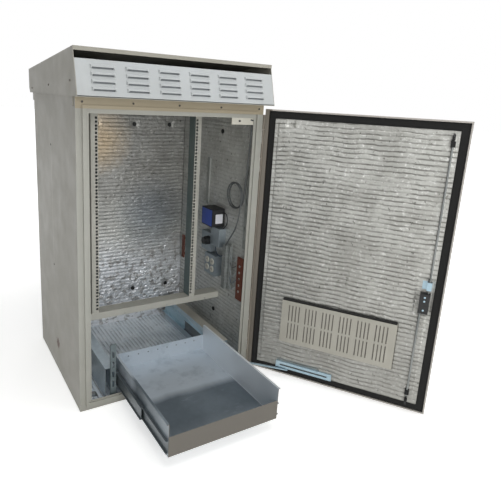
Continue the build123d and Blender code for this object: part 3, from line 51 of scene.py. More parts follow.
# %% [markdown]
# ## Camera
# The camera stands where the upper picture was taken from. It keeps that place, direction and tilt, and
# a longer lens so that the cabinet fills the frame.

# %%
PICTURE_WIDTH = 501.0
SENSOR = 36.0
FOCAL_PIXELS = 488.0
CLIP_START = 0.01
CAMERA_PLACE = Vector((-0.86402, -2.07897, 1.25614))
CAMERA_AZIMUTH = math.radians(31.796)
CAMERA_ELEVATION = math.radians(-13.802)
CAMERA_ROLL = math.radians(3.116)
SHIFT = (0.062, -0.064)


def link_object(name, data):
    """An object with its data, in the scene."""
    thing = bpy.data.objects.new(name, data)
    bpy.context.collection.objects.link(thing)
    return thing


def camera_matrix():
    """The camera's place and its right, up and back directions."""
    forward = Vector((
        math.sin(CAMERA_AZIMUTH) * math.cos(CAMERA_ELEVATION),
        math.cos(CAMERA_AZIMUTH) * math.cos(CAMERA_ELEVATION),
        math.sin(CAMERA_ELEVATION),
    ))
    right = forward.cross(Vector((0, 0, 1))).normalized()
    up = right.cross(forward)
    tilted_right = math.cos(CAMERA_ROLL) * right + math.sin(CAMERA_ROLL) * up
    tilted_up = -math.sin(CAMERA_ROLL) * right + math.cos(CAMERA_ROLL) * up
    turn = Matrix((tilted_right, tilted_up, -forward)).transposed().to_4x4()
    return Matrix.Translation(CAMERA_PLACE) @ turn


camera_data = bpy.data.cameras.new("camera")
camera_data.sensor_width = SENSOR
camera_data.lens = FOCAL_PIXELS / PICTURE_WIDTH * SENSOR
camera_data.shift_x, camera_data.shift_y = SHIFT
camera_data.clip_start = CLIP_START
camera = link_object("camera", camera_data)
camera.matrix_world = camera_matrix()
bpy.context.scene.camera = camera
bpy.context.scene.view_settings.view_transform = "Standard"
print("camera lens", round(camera_data.lens, 2), "mm")

# %% [markdown]
# ## Floor and lamps
# The cabinet stands on a plain pale floor. Five soft boxes light it: a broad one near the camera, which
# also reaches into the open cabinet, one about as strong from the right, a large one from above, and
# weaker ones from behind and from the left.

# %%
FLOOR_HALF = 30.0
MIDDLE = (0.1, -0.3, 0.7)
INSIDE = (0.1, 0.0, 0.6)
LAMPS = (
    ("key", (-0.7, -4.0, 1.4), INSIDE, 1.8, 58),
    ("left", (-4.2, -1.4, 2.2), MIDDLE, 2.6, 6),
    ("right", (3.6, -2.4, 2.2), MIDDLE, 2.8, 55),
    ("top", (0.1, -1.2, 4.4), MIDDLE, 3.0, 80),
    ("back", (2.0, 4.0, 2.8), MIDDLE, 2.8, 26),
)


def link_mesh(name, shape):
    """An object made from a bmesh, in the scene."""
    mesh = bpy.data.meshes.new(name)
    shape.to_mesh(mesh)
    shape.free()
    return link_object(name, mesh)


def add_lamp(name, place, target, size, watts):
    """A square soft box that faces a point."""
    data = bpy.data.lights.new(name, "AREA")
    data.shape = "SQUARE"
    data.size = size
    data.energy = watts
    lamp = link_object(name, data)
    lamp.location = place
    lamp.rotation_euler = (Vector(target) - Vector(place)).to_track_quat("-Z", "Y").to_euler()


shape = bmesh.new()
bmesh.ops.create_grid(shape, x_segments=2, y_segments=2, size=FLOOR_HALF)
floor = link_mesh("floor", shape)
for lamp_row in LAMPS:
    add_lamp(*lamp_row)
print("floor and", len(LAMPS), "lamps")

# %% [markdown]
# ## Material helpers
# These helpers make patterns and masks in a material's node tree. All textures are read in Object
# coordinates, which for these objects are metres in the cabinet's own frame. A mask is 1 where something
# is added and 0 elsewhere.

# %%
RAGGED_SCALE = 70.0
BEVEL_SAMPLES = 4
EDGE_FAINT = 0.97
EDGE_FULL = 0.80


class Patterns:
    """Patterns and masks in a node tree."""

    def __init__(self, tree):
        self.tree = tree
        self.place = self.node("ShaderNodeTexCoord", {}).outputs["Object"]

    def node(self, kind, values, **settings):
        """A new node with its settings, and its inputs linked or set."""
        made = self.tree.nodes.new(kind)
        for setting, choice in settings.items():
            setattr(made, setting, choice)
        for key, value in values.items():
            if isinstance(value, bpy.types.NodeSocket):
                self.tree.links.new(value, made.inputs[key])
            else:
                made.inputs[key].default_value = value
        return made

    def stretched(self, factors):
        """Coordinates scaled along each axis, for brushed or streaky textures."""
        return self.node("ShaderNodeMapping", {"Vector": self.place, "Scale": factors}).outputs[0]

    def noise(self, scale, detail=4.0, roughness=0.55, factors=None):
        """Soft clouds from 0 to 1."""
        where = self.stretched(factors) if factors else self.place
        values = {"Vector": where, "Scale": scale, "Detail": detail, "Roughness": roughness}
        return self.node("ShaderNodeTexNoise", values).outputs["Fac"]

    def cells(self, scale):
        """Distance from the middles of random cells."""
        return self.node("ShaderNodeTexVoronoi", {"Vector": self.place, "Scale": scale}).outputs["Distance"]

    def span(self, value, low, high, to_low=0.0, to_high=1.0):
        """A value mapped from one range to another, and held inside it."""
        values = {"Value": value, "From Min": low, "From Max": high, "To Min": to_low, "To Max": to_high}
        return self.node("ShaderNodeMapRange", values).outputs["Result"]

    def calc(self, first, second, operation="ADD"):
        """Arithmetic on two values."""
        return self.node("ShaderNodeMath", {0: first, 1: second}, operation=operation).outputs[0]

    def product(self, first, *others):
        """Values multiplied one after another."""
        for other in others:
            first = self.calc(first, other, "MULTIPLY")
        return first

    def axis(self, name):
        """One coordinate in metres."""
        return self.node("ShaderNodeSeparateXYZ", {0: self.place}).outputs[name]

    def below(self, name, limit, soft=0.0004):
        """1 where a coordinate is under a limit, 0 above it."""
        return self.span(self.axis(name), limit - soft, limit + soft, 1.0, 0.0)

    def above(self, name, limit, soft=0.0004):
        """1 where a coordinate is over a limit, 0 below it."""
        return self.calc(1.0, self.below(name, limit, soft), "SUBTRACT")

    def near(self, point, radius, ragged=1.0, inner=0.5, outer=1.4):
        """1 at a point, falling to 0 at a radius, with a ragged edge."""
        away = self.node("ShaderNodeVectorMath", {0: self.place, 1: point}, operation="DISTANCE")
        teeth = self.product(self.noise(RAGGED_SCALE), radius * ragged)
        distance = self.calc(away.outputs["Value"], teeth)
        return self.span(distance, radius * inner, radius * outer, 1.0, 0.0)

    def beside(self, x, y, radius, soft=0.0015):
        """1 within a radius of an upright line, 0 outside it."""
        across = self.calc(self.calc(self.axis("X"), x, "SUBTRACT"), 2.0, "POWER")
        along = self.calc(self.calc(self.axis("Y"), y, "SUBTRACT"), 2.0, "POWER")
        distance = self.calc(self.calc(across, along), 0.5, "POWER")
        return self.span(distance, radius - soft, radius + soft, 1.0, 0.0)

    def edges(self, radius=0.0018):
        """1 along the outer edges of the sheet, where paint wears."""
        rounded = self.node("ShaderNodeBevel", {"Radius": radius}, samples=BEVEL_SAMPLES).outputs[0]
        flat = self.node("ShaderNodeNewGeometry", {}).outputs["Normal"]
        alike = self.node("ShaderNodeVectorMath", {0: rounded, 1: flat}, operation="DOT_PRODUCT")
        return self.span(alike.outputs["Value"], EDGE_FAINT, EDGE_FULL)


print("pattern helpers")

# %% [markdown]
# A recipe is a material under construction. Each step mixes a colour in, adds a bump or sets the gloss,
# and the last step links what was built to the shader.

# %%
HEX_STARTS = (1, 3, 5)
GLOSS_LOW = 0.25
GLOSS_HIGH = 0.75


def colour(code):
    """A hex colour as written on screen, in Blender's linear values."""
    values = []
    for start in HEX_STARTS:
        channel = int(code[start:start + 2], 16) / 255
        values.append(channel / 12.92 if channel <= 0.04045 else ((channel + 0.055) / 1.055) ** 2.4)
    return (*values, 1.0)


class Recipe(Patterns):
    """A material under construction."""

    def __init__(self, name, base, roughness, metallic=0.0):
        self.name = name
        self.material = bpy.data.materials.new(name)
        self.material.use_nodes = True
        super().__init__(self.material.node_tree)
        self.shader = self.tree.nodes["Principled BSDF"]
        self.shader.inputs["Roughness"].default_value = roughness
        self.shader.inputs["Metallic"].default_value = metallic
        self.colour = self.node("ShaderNodeRGB", {}).outputs[0]
        self.colour.default_value = colour(base)
        self.rough = None
        self.normal = None

    def tint(self, factor, code, blend="MIX"):
        """Mix another colour in, where the factor says."""
        values = {0: factor, 6: self.colour, 7: colour(code)}
        self.colour = self.node("ShaderNodeMix", values, data_type="RGBA", blend_type=blend).outputs[2]

    def clouds(self, code, scale, detail, low, high, amount, roughness=0.55, factors=None):
        """Mix another colour in where soft clouds are dense."""
        pattern = self.noise(scale, detail, roughness, factors)
        self.tint(self.span(pattern, low, high, 0.0, amount), code)

    def bump(self, height, strength, distance):
        """Relief, on top of the relief so far."""
        values = {"Strength": strength, "Distance": distance, "Height": height}
        if self.normal:
            values["Normal"] = self.normal
        self.normal = self.node("ShaderNodeBump", values).outputs[0]

    def gloss(self, value, low, high):
        """Roughness that follows a 0 to 1 value."""
        self.rough = self.span(value, GLOSS_LOW, GLOSS_HIGH, low, high)

    def done(self):
        """The finished material."""
        self.tree.links.new(self.colour, self.shader.inputs["Base Color"])
        if self.rough:
            self.tree.links.new(self.rough, self.shader.inputs["Roughness"])
        if self.normal:
            self.tree.links.new(self.normal, self.shader.inputs["Normal"])
        return self.material


print("recipe helper")

# %% [markdown]
# ## Paint
# The body, door and boxes are powder coated. The coat is even but not flat: its tone drifts a little
# over the sheet, dust gathers low down, the edges are rubbed lighter and the surface has an orange peel.

# %%
DUST_LOW = 0.02
DUST_HIGH = 0.24


def paint(name, base, shade, light, roughness=0.42, dust="#8d8778"):
    """Powder coat with slow changes of tone, orange peel, dust low down and worn edges."""
    recipe = Recipe(name, base, roughness)
    recipe.clouds(shade, 1.7, 5.0, 0.42, 0.68, 0.7)
    recipe.clouds(light, 9.0, 6.0, 0.52, 0.80, 0.35)
    recipe.clouds(shade, 4.0, 4.0, 0.58, 0.78, 0.16, 0.6, (7.0, 7.0, 0.5))
    height = recipe.span(recipe.axis("Z"), DUST_LOW, DUST_HIGH, 0.40, 0.0)
    recipe.tint(recipe.product(height, recipe.noise(18.0, 6.0)), dust)
    recipe.tint(recipe.product(recipe.edges(), 0.40), light)
    recipe.gloss(recipe.noise(14.0, 5.0), roughness - 0.07, roughness + 0.10)
    recipe.bump(recipe.noise(900.0, 2.0), 0.10, 0.0006)
    recipe.bump(recipe.noise(7.0, 2.0), 0.10, 0.003)
    return recipe


door_paint = paint("door_paint", "#bdb8b2", "#aca69e", "#cdc9c3", 0.38)
hood_paint = paint("hood_paint", "#b3b7b8", "#a6a8a6", "#c6c9c9", 0.40)
rack_paint = paint("rack_paint", "#b3b2a9", "#a19f94", "#c5c3ba", 0.46)
rail_paint = paint("rail_paint", "#5c6c6b", "#48595a", "#84918f", 0.40)
beige_paint = paint("beige_paint", "#aea89f", "#9a948a", "#c4bfb6", 0.42)
filter_paint = paint("filter_paint", "#b9b6ab", "#a7a499", "#cecbc1", 0.46)
print("paints")

# %% [markdown]
# Four paints have marks of their own. The left side has a rust spot and a faint pale upright line between two
# plugs, a painted reflection; the door is browner around its hinge pin, a painted shade; the frame is browner
# over the door, a painted shade on the header; and the conduit is pale with a dark red sleeve.

# %%
HINGE = Vector((0.4043, -0.3518, 0.0))
HINGE_SHADE_REACH = 0.034
SIDE_X = -0.400
SIDE_LIMIT = -0.399
RUST_PLACE = (SIDE_X, 0.002, 0.136)
RUST_REACH = 0.052
SIDE_MARK_Y = 0.0353
SIDE_MARKS = (1.0311, 0.5041)
MARK_CORE, MARK_EDGE, MARK_FADE = 0.0010, 0.0050, 0.02
MARK_STRENGTH = 0.35
HEADER_LOW = 1.196
RISER_FRONT = 0.285
SLEEVE_LOW = 0.4548
SLEEVE_HIGH = 0.4973

body_paint = paint("body_paint", "#98958a", "#8d8a7f", "#a9a69b")
body_paint.tint(body_paint.near(RUST_PLACE, RUST_REACH, ragged=1.2, inner=0.95, outer=1.15), "#4a2814")
# Painted reflection: a pale upright line between the two plugs on the left side.
aside = body_paint.calc(body_paint.calc(body_paint.axis("Y"), SIDE_MARK_Y, "SUBTRACT"), 0.0, "ABSOLUTE")
painted_reflection_line = body_paint.product(
    body_paint.span(aside, MARK_CORE, MARK_EDGE, MARK_STRENGTH, 0.0), body_paint.below("X", SIDE_LIMIT),
    body_paint.below("Z", SIDE_MARKS[0], MARK_FADE), body_paint.above("Z", SIDE_MARKS[1], MARK_FADE))
body_paint.tint(painted_reflection_line, "#c6c4ba")
# Painted shade: the door is browner around its hinge pin.
door_paint.tint(door_paint.product(door_paint.beside(HINGE.x, HINGE.y, HINGE_SHADE_REACH), 0.9), "#6d665b")
frame_paint = paint("frame_paint", "#a4a49c", "#96958c", "#b8b7af", 0.42)
# Painted shade: the frame is browner on the header over the door, under the hood.
frame_paint.tint(frame_paint.product(frame_paint.above("Z", HEADER_LOW, soft=0.002), 0.75), "#9c8d6f")
box_paint = paint("box_paint", "#56616c", "#46505b", "#77869a", 0.40, "#7d7a70")
at_riser = box_paint.above("Y", RISER_FRONT)
box_paint.tint(box_paint.product(at_riser, box_paint.above("Z", SLEEVE_LOW)), "#451216")
box_paint.tint(box_paint.product(at_riser, box_paint.above("Z", SLEEVE_HIGH)), "#a3a19f")
print("paints with marks")

# %% [markdown]
# ## Metal, plastic and foam
# Zinc-coated sheet has faint crystals and dull patches. Moulded plastic has a fine grain. The foam seal
# and the filter have open pores and no shine.

# %%


def metal(name, base, shade, light, roughness, spangle=60.0, grain=(1.0, 1.0, 1.0), metallic=0.62):
    """Zinc-coated steel: faint crystals, fine grain, dull patches and bright edges."""
    recipe = Recipe(name, base, roughness, metallic)
    recipe.tint(recipe.span(recipe.cells(spangle), 0.1, 0.8, 0.0, 0.40), shade)
    recipe.clouds(light, 3.2, 5.0, 0.48, 0.72, 0.7)
    recipe.clouds(shade, 160.0, 3.0, 0.45, 0.75, 0.14, 0.6, grain)
    recipe.tint(recipe.product(recipe.edges(0.0012), 0.6), light)
    recipe.gloss(recipe.noise(9.0, 6.0, 0.6, grain), roughness - 0.08, roughness + 0.14)
    recipe.bump(recipe.noise(420.0, 2.0, 0.5, grain), 0.04, 0.0004)
    recipe.bump(recipe.noise(6.0, 2.0), 0.06, 0.003)
    return recipe


def plastic(name, base, light, roughness=0.45, grain=700.0):
    """Moulded plastic with a fine texture and rubbed edges."""
    recipe = Recipe(name, base, roughness)
    recipe.clouds(light, 22.0, 5.0, 0.48, 0.75, 0.6)
    recipe.tint(recipe.product(recipe.edges(0.001), 0.35), light)
    recipe.gloss(recipe.noise(30.0, 4.0), roughness - 0.08, roughness + 0.12)
    recipe.bump(recipe.noise(grain, 2.0), 0.18, 0.0005)
    return recipe


def foam(name, base, light):
    """Open-cell foam: fine pores and no shine."""
    recipe = Recipe(name, base, 0.92)
    recipe.clouds(light, 240.0, 4.0, 0.50, 0.72, 0.8)
    recipe.clouds(light, 6.0, 5.0, 0.52, 0.75, 0.5)
    recipe.bump(recipe.cells(520.0), 0.6, 0.0014)
    recipe.bump(recipe.noise(40.0, 3.0), 0.3, 0.0016)
    return recipe


galvanised = metal("galvanised", "#9ba5ab", "#828d94", "#b6bec2", 0.40, 48.0)
rail_metal = metal("rail_metal", "#9da09c", "#858884", "#bdbfba", 0.42, 90.0, (1.0, 1.0, 0.2), 0.2)
hinge_steel = metal("hinge_steel", "#766f64", "#5c564d", "#a19a8d", 0.44, 120.0, (1.0, 1.0, 0.3), 0.35)
copper = metal("copper", "#74402f", "#562c21", "#9c6049", 0.44, 70.0, metallic=0.4)
foam_seal = foam("foam_seal", "#0c0c0b", "#1b1b19")
black_plastic = plastic("black_plastic", "#0c0c0d", "#242424", 0.58)
white_plastic = plastic("white_plastic", "#c9c6b9", "#dedbd0", 0.40)
cable_cover = plastic("cable_cover", "#4c4f4f", "#6a6e6f", 0.5, 400.0)
print("metals, plastics and foam")

# %% [markdown]
# One CAD node can hold parts of two tones, so some finishes change at a height or a depth: the rods'
# black forks, the rod guides' black ends, the paler right slide, which is partly its zinc tone and partly
# painted light, the dark screw heads, and the tray supports' slotted posts and painted top.

# %%
BLACKENED = "#151617"
ZINC_LOOK = ("#a4bbc7", "#86a0ae", "#c6d6dd", 0.32, 120.0, (1.0, 1.0, 0.15))
SLIDE_LOOK = ("#6d7478", "#54595c", "#a5adb0", 0.34, 90.0, (1.0, 0.06, 1.0))
SUPPORT_TOP = 0.1480
SUPPORT_RIGHT = 0.2
POST_REAR = -0.3248
LOWER_FORK, UPPER_FORK = 0.081, 1.139
LOWER_GUIDE, UPPER_GUIDE = 0.30, 0.90
HEADER_SCREWS_LOW = 1.205
HEADER_FACE = -0.3495
SCREW_HEADS = 0.4015
THIN = 0.0002

support_metal = metal("support_metal", "#c3d0d9", "#a9b7c1", "#d9e3e9", 0.40, metallic=0.25)
support_metal.tint(support_metal.product(support_metal.below("Y", POST_REAR, THIN), 0.85), "#4d5857")
right_top = support_metal.above("Z", SUPPORT_TOP, soft=0.0003)
support_metal.tint(support_metal.product(right_top, support_metal.above("X", SUPPORT_RIGHT)), "#b3b0a5")
rod_steel = metal("rod_steel", "#7d807f", "#636665", "#a3a5a3", 0.36, 120.0, (1.0, 1.0, 0.1), 0.5)
rod_steel.tint(rod_steel.below("Z", LOWER_FORK), BLACKENED)
rod_steel.tint(rod_steel.above("Z", UPPER_FORK), BLACKENED)
zinc = metal("zinc", *ZINC_LOOK)
guide_zinc = metal("guide_zinc", *ZINC_LOOK)
guide_zinc.tint(guide_zinc.below("Z", LOWER_GUIDE), BLACKENED)
guide_zinc.tint(guide_zinc.above("Z", UPPER_GUIDE), BLACKENED)
slide_steel = metal("slide_steel", *SLIDE_LOOK)
fixed_steel = metal("fixed_steel", *SLIDE_LOOK)
# The right slide is paler and bluer: partly its zinc tone, partly painted light on a face that lies in shade.
fixed_steel.tint(fixed_steel.product(fixed_steel.above("X", 0.0), 0.85), "#bcd6e2")
screw_steel = metal("screw_steel", "#b2b3ad", "#8a8b86", "#d6d6d1", 0.30, 200.0)
at_header = screw_steel.above("Z", HEADER_SCREWS_LOW)
screw_steel.tint(screw_steel.product(at_header, screw_steel.below("Y", HEADER_FACE)), "#3b3833")
screw_steel.tint(screw_steel.below("X", -SCREW_HEADS, THIN), "#5d5a52")
screw_steel.tint(screw_steel.above("X", SCREW_HEADS, THIN), "#5d5a52")
print("metals with two tones")

# %% [markdown]
# The same holds for the black plug among the fittings, the blue front of the power unit and the dark top
# of the filter.

# %%
PLUG_FRONT = -0.16
POWER_UNIT_FACE = 0.3027
FILTER_TOP = 0.372

fittings = plastic("fittings", "#777b79", "#959a98", 0.42)
fittings.tint(fittings.above("Y", PLUG_FRONT), "#1e1f20")
blue_case = plastic("blue_case", "#0a0b0f", "#1c1e26", 0.42)
blue_case.tint(blue_case.below("X", POWER_UNIT_FACE, THIN), "#3955b0")
filter_foam = foam("filter_foam", "#74716a", "#8b887f")
filter_foam.tint(filter_foam.above("Z", FILTER_TOP), "#1a1a19")
print("plastics and foam with two tones")

# %% [markdown]
# ## Tray
# The battery tray is bare zinc-coated sheet. Its floor is dull and bluish, its rear part is paler with a
# painted reflection and smeared, its right wall is bright with painted light, a band near the front is paler
# with a painted reflection, and its front lip faces the ground and looks browner with painted shade.

# %%
TRAY_FRONT = -0.7992
TRAY_REFLECTION_EDGE = -0.485
TRAY_SMEARED = -0.40
REFLECTION_RAGGED = 0.05
REFLECTION_FADE = 0.05
TRAY_RIGHT = 0.2375
FRONT_REFLECTION = (-0.66, -0.76)

tray_metal = metal("tray_metal", "#68727a", "#5a646b", "#828d95", 0.34, 40.0, (1.0, 0.5, 1.0), 0.40)
smudge = tray_metal.noise(5.0, 6.0, 0.65, (1.0, 0.35, 1.0))
tray_metal.tint(tray_metal.span(smudge, 0.50, 0.70, 0.0, 0.5), "#68737b")
# Painted reflection: the rear part of the tray floor is paler, with a ragged front edge.
reflection_depth = tray_metal.calc(tray_metal.axis("Y"), tray_metal.product(smudge, REFLECTION_RAGGED))
tray_metal.tint(tray_metal.span(reflection_depth, TRAY_REFLECTION_EDGE, TRAY_REFLECTION_EDGE + REFLECTION_FADE, 0.0, 0.7), "#d2dbe3")
smears = tray_metal.noise(15.0, 5.0, 0.65)
smears = tray_metal.product(smears, tray_metal.span(reflection_depth, TRAY_REFLECTION_EDGE, TRAY_SMEARED))
tray_metal.tint(tray_metal.span(smears, 0.50, 0.70, 0.0, 0.34), "#74808a")
tray_metal.clouds("#aab5bd", 26.0, 5.0, 0.60, 0.74, 0.30, 0.7, (0.35, 1.0, 1.0))
# Painted light: the tray's right wall is tinted near white.
tray_metal.tint(tray_metal.product(tray_metal.above("X", TRAY_RIGHT), 0.9), "#e1e6ea")
# Painted reflection: a paler band towards the front of the tray floor.
tray_metal.tint(tray_metal.span(tray_metal.axis("Y"), *FRONT_REFLECTION, 0.0, 0.45), "#aab4bb")
# Painted shade: the tray's front lip is browner.
tray_metal.tint(tray_metal.below("Y", TRAY_FRONT, soft=0.0003), "#66625b")
print("tray finish")

# %% [markdown]
# ## Foil
# The insulation is faced with aluminium foil that was crumpled before it was glued down. The board's
# ribs show through it. The creases are real geometry, so this finish only adds the fine ones, and painted
# shade in the lines between the ribs.

# %%
LINE_FULL_HEIGHT = 0.3
LINE_FAINT_HEIGHT = 0.9
DOOR_SHADE_HEIGHTS = (1.0, 0.15)


def foil(name, base, shade, light, metallic=0.45):
    """Dull crumpled foil: fine creases and bright and dark flecks."""
    recipe = Recipe(name, base, 0.40, metallic)
    recipe.clouds(shade, 7.0, 6.0, 0.42, 0.70, 0.6)
    recipe.clouds(light, 70.0, 3.0, 0.56, 0.74, 0.5, 0.6)
    recipe.clouds(shade, 60.0, 4.0, 0.46, 0.32, 0.5, 0.6)
    recipe.gloss(recipe.noise(60.0, 5.0), 0.24, 0.46)
    recipe.bump(recipe.cells(140.0), 0.30, 0.0020)
    recipe.bump(recipe.noise(330.0, 4.0), 0.4, 0.0012)
    return recipe


def ribbed_foil(name, base, shade, light, line, strength, metallic=0.45, faint=1.0):
    """Foil with painted shade in the lines between its ribs, which the sheet's own UVs count."""
    recipe = foil(name, base, shade, light, metallic)
    ribs_uv = recipe.node("ShaderNodeTexCoord", {}).outputs["UV"]
    rib = recipe.node("ShaderNodeSeparateXYZ", {0: ribs_uv}).outputs["Y"]
    across = recipe.calc(recipe.calc(rib, 1.0, "MODULO"), 0.5, "SUBTRACT")
    near_line = recipe.span(recipe.product(across, across), 0.06, 0.21, 0.0, strength)
    patchy = recipe.span(recipe.noise(16.0, 3.0, 0.5), 0.36, 0.58, 0.1, 1.0)
    fading = recipe.span(recipe.axis("Z"), LINE_FULL_HEIGHT, LINE_FAINT_HEIGHT, 1.0, faint)
    # Painted shade along the lines between the ribs.
    recipe.tint(recipe.product(near_line, recipe.product(patchy, fading)), line)
    return recipe


foil_board = foil("foil_board", "#bcbcb9", "#8e8f8d", "#f2f2f0")
foil_floor = ribbed_foil("foil_floor", "#eff6fc", "#cbd7e0", "#ffffff", "#59626a", 0.55, 0.2)
foil_door = ribbed_foil("foil_door", "#b5b5b0", "#85847e", "#fdfdfb", "#504f49", 0.8)
# Painted shade: the door's foil grows darker towards the bottom.
foil_door.tint(foil_door.span(foil_door.axis("Z"), *DOOR_SHADE_HEIGHTS, 0.0, 0.40), "#87857f")
print("foil finishes")

# %% [markdown]
# The rear sheet is darker in its upper part, a painted shade, and low down it is paler, a painted light,
# with dark blotches of painted crease shade. It also shows a golden and a bluish patch in the photo,
# reflections of a room that isn't here, so they are painted in.

# %%
REAR_TONES = 0.314
REAR_SHADE_HEIGHTS = (0.42, 0.75)
REAR_LIGHT_HEIGHTS = (0.52, 0.34)
REAR_CREASE_SHADE_HEIGHTS = (0.52, 0.38)
WARM_PLACE = (-0.12, 0.32, 1.03)
WARM_REACH = 0.16
COOL_PLACE = (0.19, 0.32, 0.63)
COOL_REACH = 0.18

foil_wall = ribbed_foil("foil_wall", "#cccdc9", "#93928c", "#ffffff", "#55544e", 0.50, faint=0.35)
rear = foil_wall.above("Y", REAR_TONES)
rear_height = foil_wall.axis("Z")
# Painted shade: the rear sheet is darker in its upper part.
foil_wall.tint(foil_wall.product(rear, foil_wall.span(rear_height, *REAR_SHADE_HEIGHTS)), "#c3c2c1", "MULTIPLY")
# Painted light: the rear sheet is paler low down.
foil_wall.tint(foil_wall.product(rear, foil_wall.span(rear_height, *REAR_LIGHT_HEIGHTS, 0.0, 0.6)), "#f4f8ff")
# Painted shade: dark blotches of crease shade on the low part of the rear sheet.
low_rear = foil_wall.product(rear, foil_wall.span(rear_height, *REAR_CREASE_SHADE_HEIGHTS))
crease_shade_blots = foil_wall.span(foil_wall.noise(34.0, 4.0, 0.6), 0.50, 0.60, 0.0, 0.65)
foil_wall.tint(foil_wall.product(low_rear, crease_shade_blots), "#77726b")
foil_wall.tint(foil_wall.product(foil_wall.near(WARM_PLACE, WARM_REACH, ragged=0.3), 0.5), "#dcc096")
foil_wall.tint(foil_wall.near(COOL_PLACE, COOL_REACH, ragged=0.3), "#e4ebf6", "MULTIPLY")
print("wall foil finish")

# %% [markdown]
# Each CAD node takes the finish of its material slot, unless it has one of its own.

# %%
by_slot = {recipe.name: recipe for recipe in (
    body_paint, door_paint, hood_paint, rack_paint, box_paint, beige_paint, blue_case, galvanised,
    slide_steel, zinc, screw_steel, copper, foil_board, foam_seal, filter_foam, black_plastic,
    white_plastic, cable_cover,
)}
by_node = {
    "battery_tray": tray_metal, "wall_fittings": fittings, "rack_rails": rail_paint,
    "hinge_leaf_frame": hinge_steel, "hinge_leaf_door": hinge_steel, "filter_cover": filter_paint,
    "door_frame": frame_paint, "tray_supports": support_metal, "slides_fixed": fixed_steel,
    "wall_rails": rail_metal, "rod_upper": rod_steel, "rod_lower": rod_steel, "rod_guides": guide_zinc,
}
recipes = [*by_slot.values(), *by_node.values(), foil_wall, foil_floor, foil_door]
finished = {recipe: recipe.done() for recipe in recipes}
slot_of = {part["node"]: part["material_slot"] for part in frame["record"]["subparts"]}
for name, thing in nodes.items():
    recipe = by_node.get(name, by_slot[slot_of[name]])
    thing.data.materials.clear()
    thing.data.materials.append(finished[recipe])
print("materials on", len(nodes), "nodes")

# %% [markdown]
# ## Crumpled foil sheets
# A sheet starts as a fine grid in its own plane. Each point is lifted into the ribs that show through
# from the board, which run side by side with a sharp line between them and wander a little. Then the
# creases are added: the borders between random cells give sharp folds, and slow noise gives the swells.

# %%
FOLD_GAIN = 1.5
FINE_SCALE = 2.7
FINE_SHIFT = Vector((3.1, 0.7, 9.2))
SWELL_SCALE = 0.31
FOLD_SHARE, FINE_SHARE, SWELL_SHARE = 0.45, 0.25, 0.30
SLOW_DRIFT = (9.0, 5.0)
QUICK_DRIFT = (42.0, 11.0)
QUICK_SHARE = 0.35
RIB_POWER = 0.6
SHOWN_SCALE = (4.0, 14.0)
SHOWN_GAIN = 1.6
SHOWN_LEAST = 0.6


def fold_at(place):
    """Distance from the border between two random cells, from 0 to 1."""
    nearest, second = noise.voronoi(place)[0][:2]
    return min(1.0, (second - nearest) * FOLD_GAIN)


def crease(place):
    """Height of the creases from 0 to 1: large folds, small folds and slow swells."""
    fine = fold_at(place * FINE_SCALE + FINE_SHIFT)
    swell = 0.5 + 0.5 * noise.noise(place * SWELL_SCALE)
    return FOLD_SHARE * fold_at(place) + FINE_SHARE * fine + SWELL_SHARE * swell


def rib_drift(u, v, seed, wander):
    """How far the ribs have wandered from their straight lines."""
    slow = noise.noise(Vector((u * SLOW_DRIFT[0], v * SLOW_DRIFT[1], seed)))
    quick = noise.noise(Vector((u * QUICK_DRIFT[0], v * QUICK_DRIFT[1], seed + 5.0)))
    return wander * slow + QUICK_SHARE * wander * quick


def rib_height(u, v, seed, phase, ribs):
    """Height of the ribs, which show more in some places than in others."""
    rib = math.sin(math.pi * phase) ** RIB_POWER
    pattern = noise.noise(Vector((u * SHOWN_SCALE[0], v * SHOWN_SCALE[1], seed + 9.0)))
    shown = min(1.0, max(0.0, 0.5 + SHOWN_GAIN * pattern))
    return ribs * (1.0 - (SHOWN_LEAST + (1.0 - SHOWN_LEAST) * shown) * (1.0 - rib))


print("creases and ribs")

# %% [markdown]
# Where something is screwed on, the foil is pressed flat. A streak is a straight band of deeper creases.
# A point's height on the sheet comes from all of these. Solidify gives the gauge of foil and glue.

# %%
RIB_PITCH = 0.0192
ROWS_PER_RIB = 6
GRID_STEP = 0.0065
CREASE_SCALE = 34.0
FOIL_LIFT = 0.0004
FOIL_GAUGE = 0.0003
EDGE_BAND = 0.014
EDGE_SLOPE = 0.5


def pressed_flat(u, v, presses, ease):
    """1 away from what is screwed on, 0 under it."""
    factor = 1.0
    for left, right, low, high in presses:
        away = max(left - u, u - right, low - v, v - high, 0.0)
        factor = min(factor, away / ease)
    return factor


def streak_at(u, v, start, end, reach):
    """How near a point is to a straight streak, from 0 to 1."""
    along = Vector(end) - Vector(start)
    from_start = Vector((u, v)) - Vector(start)
    share = min(1.0, max(0.0, from_start.dot(along) / along.length_squared))
    return max(0.0, 1.0 - (from_start - share * along).length / reach)


def thicken(piece, gauge):
    """Give a sheet its gauge, inwards from its face."""
    solid = piece.modifiers.new("gauge", "SOLIDIFY")
    solid.thickness = gauge
    solid.offset = -1.0


def sheet_grid(width, height, count):
    """A flat grid with its corner at the origin, and some rows of points in each rib."""
    shape = bmesh.new()
    columns = round(width / GRID_STEP)
    bmesh.ops.create_grid(shape, x_segments=columns, y_segments=ROWS_PER_RIB * count, size=0.5)
    bmesh.ops.translate(shape, vec=(0.5, 0.5, 0.0), verts=shape.verts)
    bmesh.ops.scale(shape, vec=(width, height, 1.0), verts=shape.verts)
    shape.verts.index_update()
    return shape


def cut_holes(shape, holes):
    """Take out the faces whose middles lie in a rectangle."""
    cut = []
    for face in shape.faces:
        spot = face.calc_center_median()
        if any(left < spot.x < right and low < spot.y < high for left, right, low, high in holes):
            cut.append(face)
    bmesh.ops.delete(shape, geom=cut, context="FACES")


print("sheet helpers")

# %%


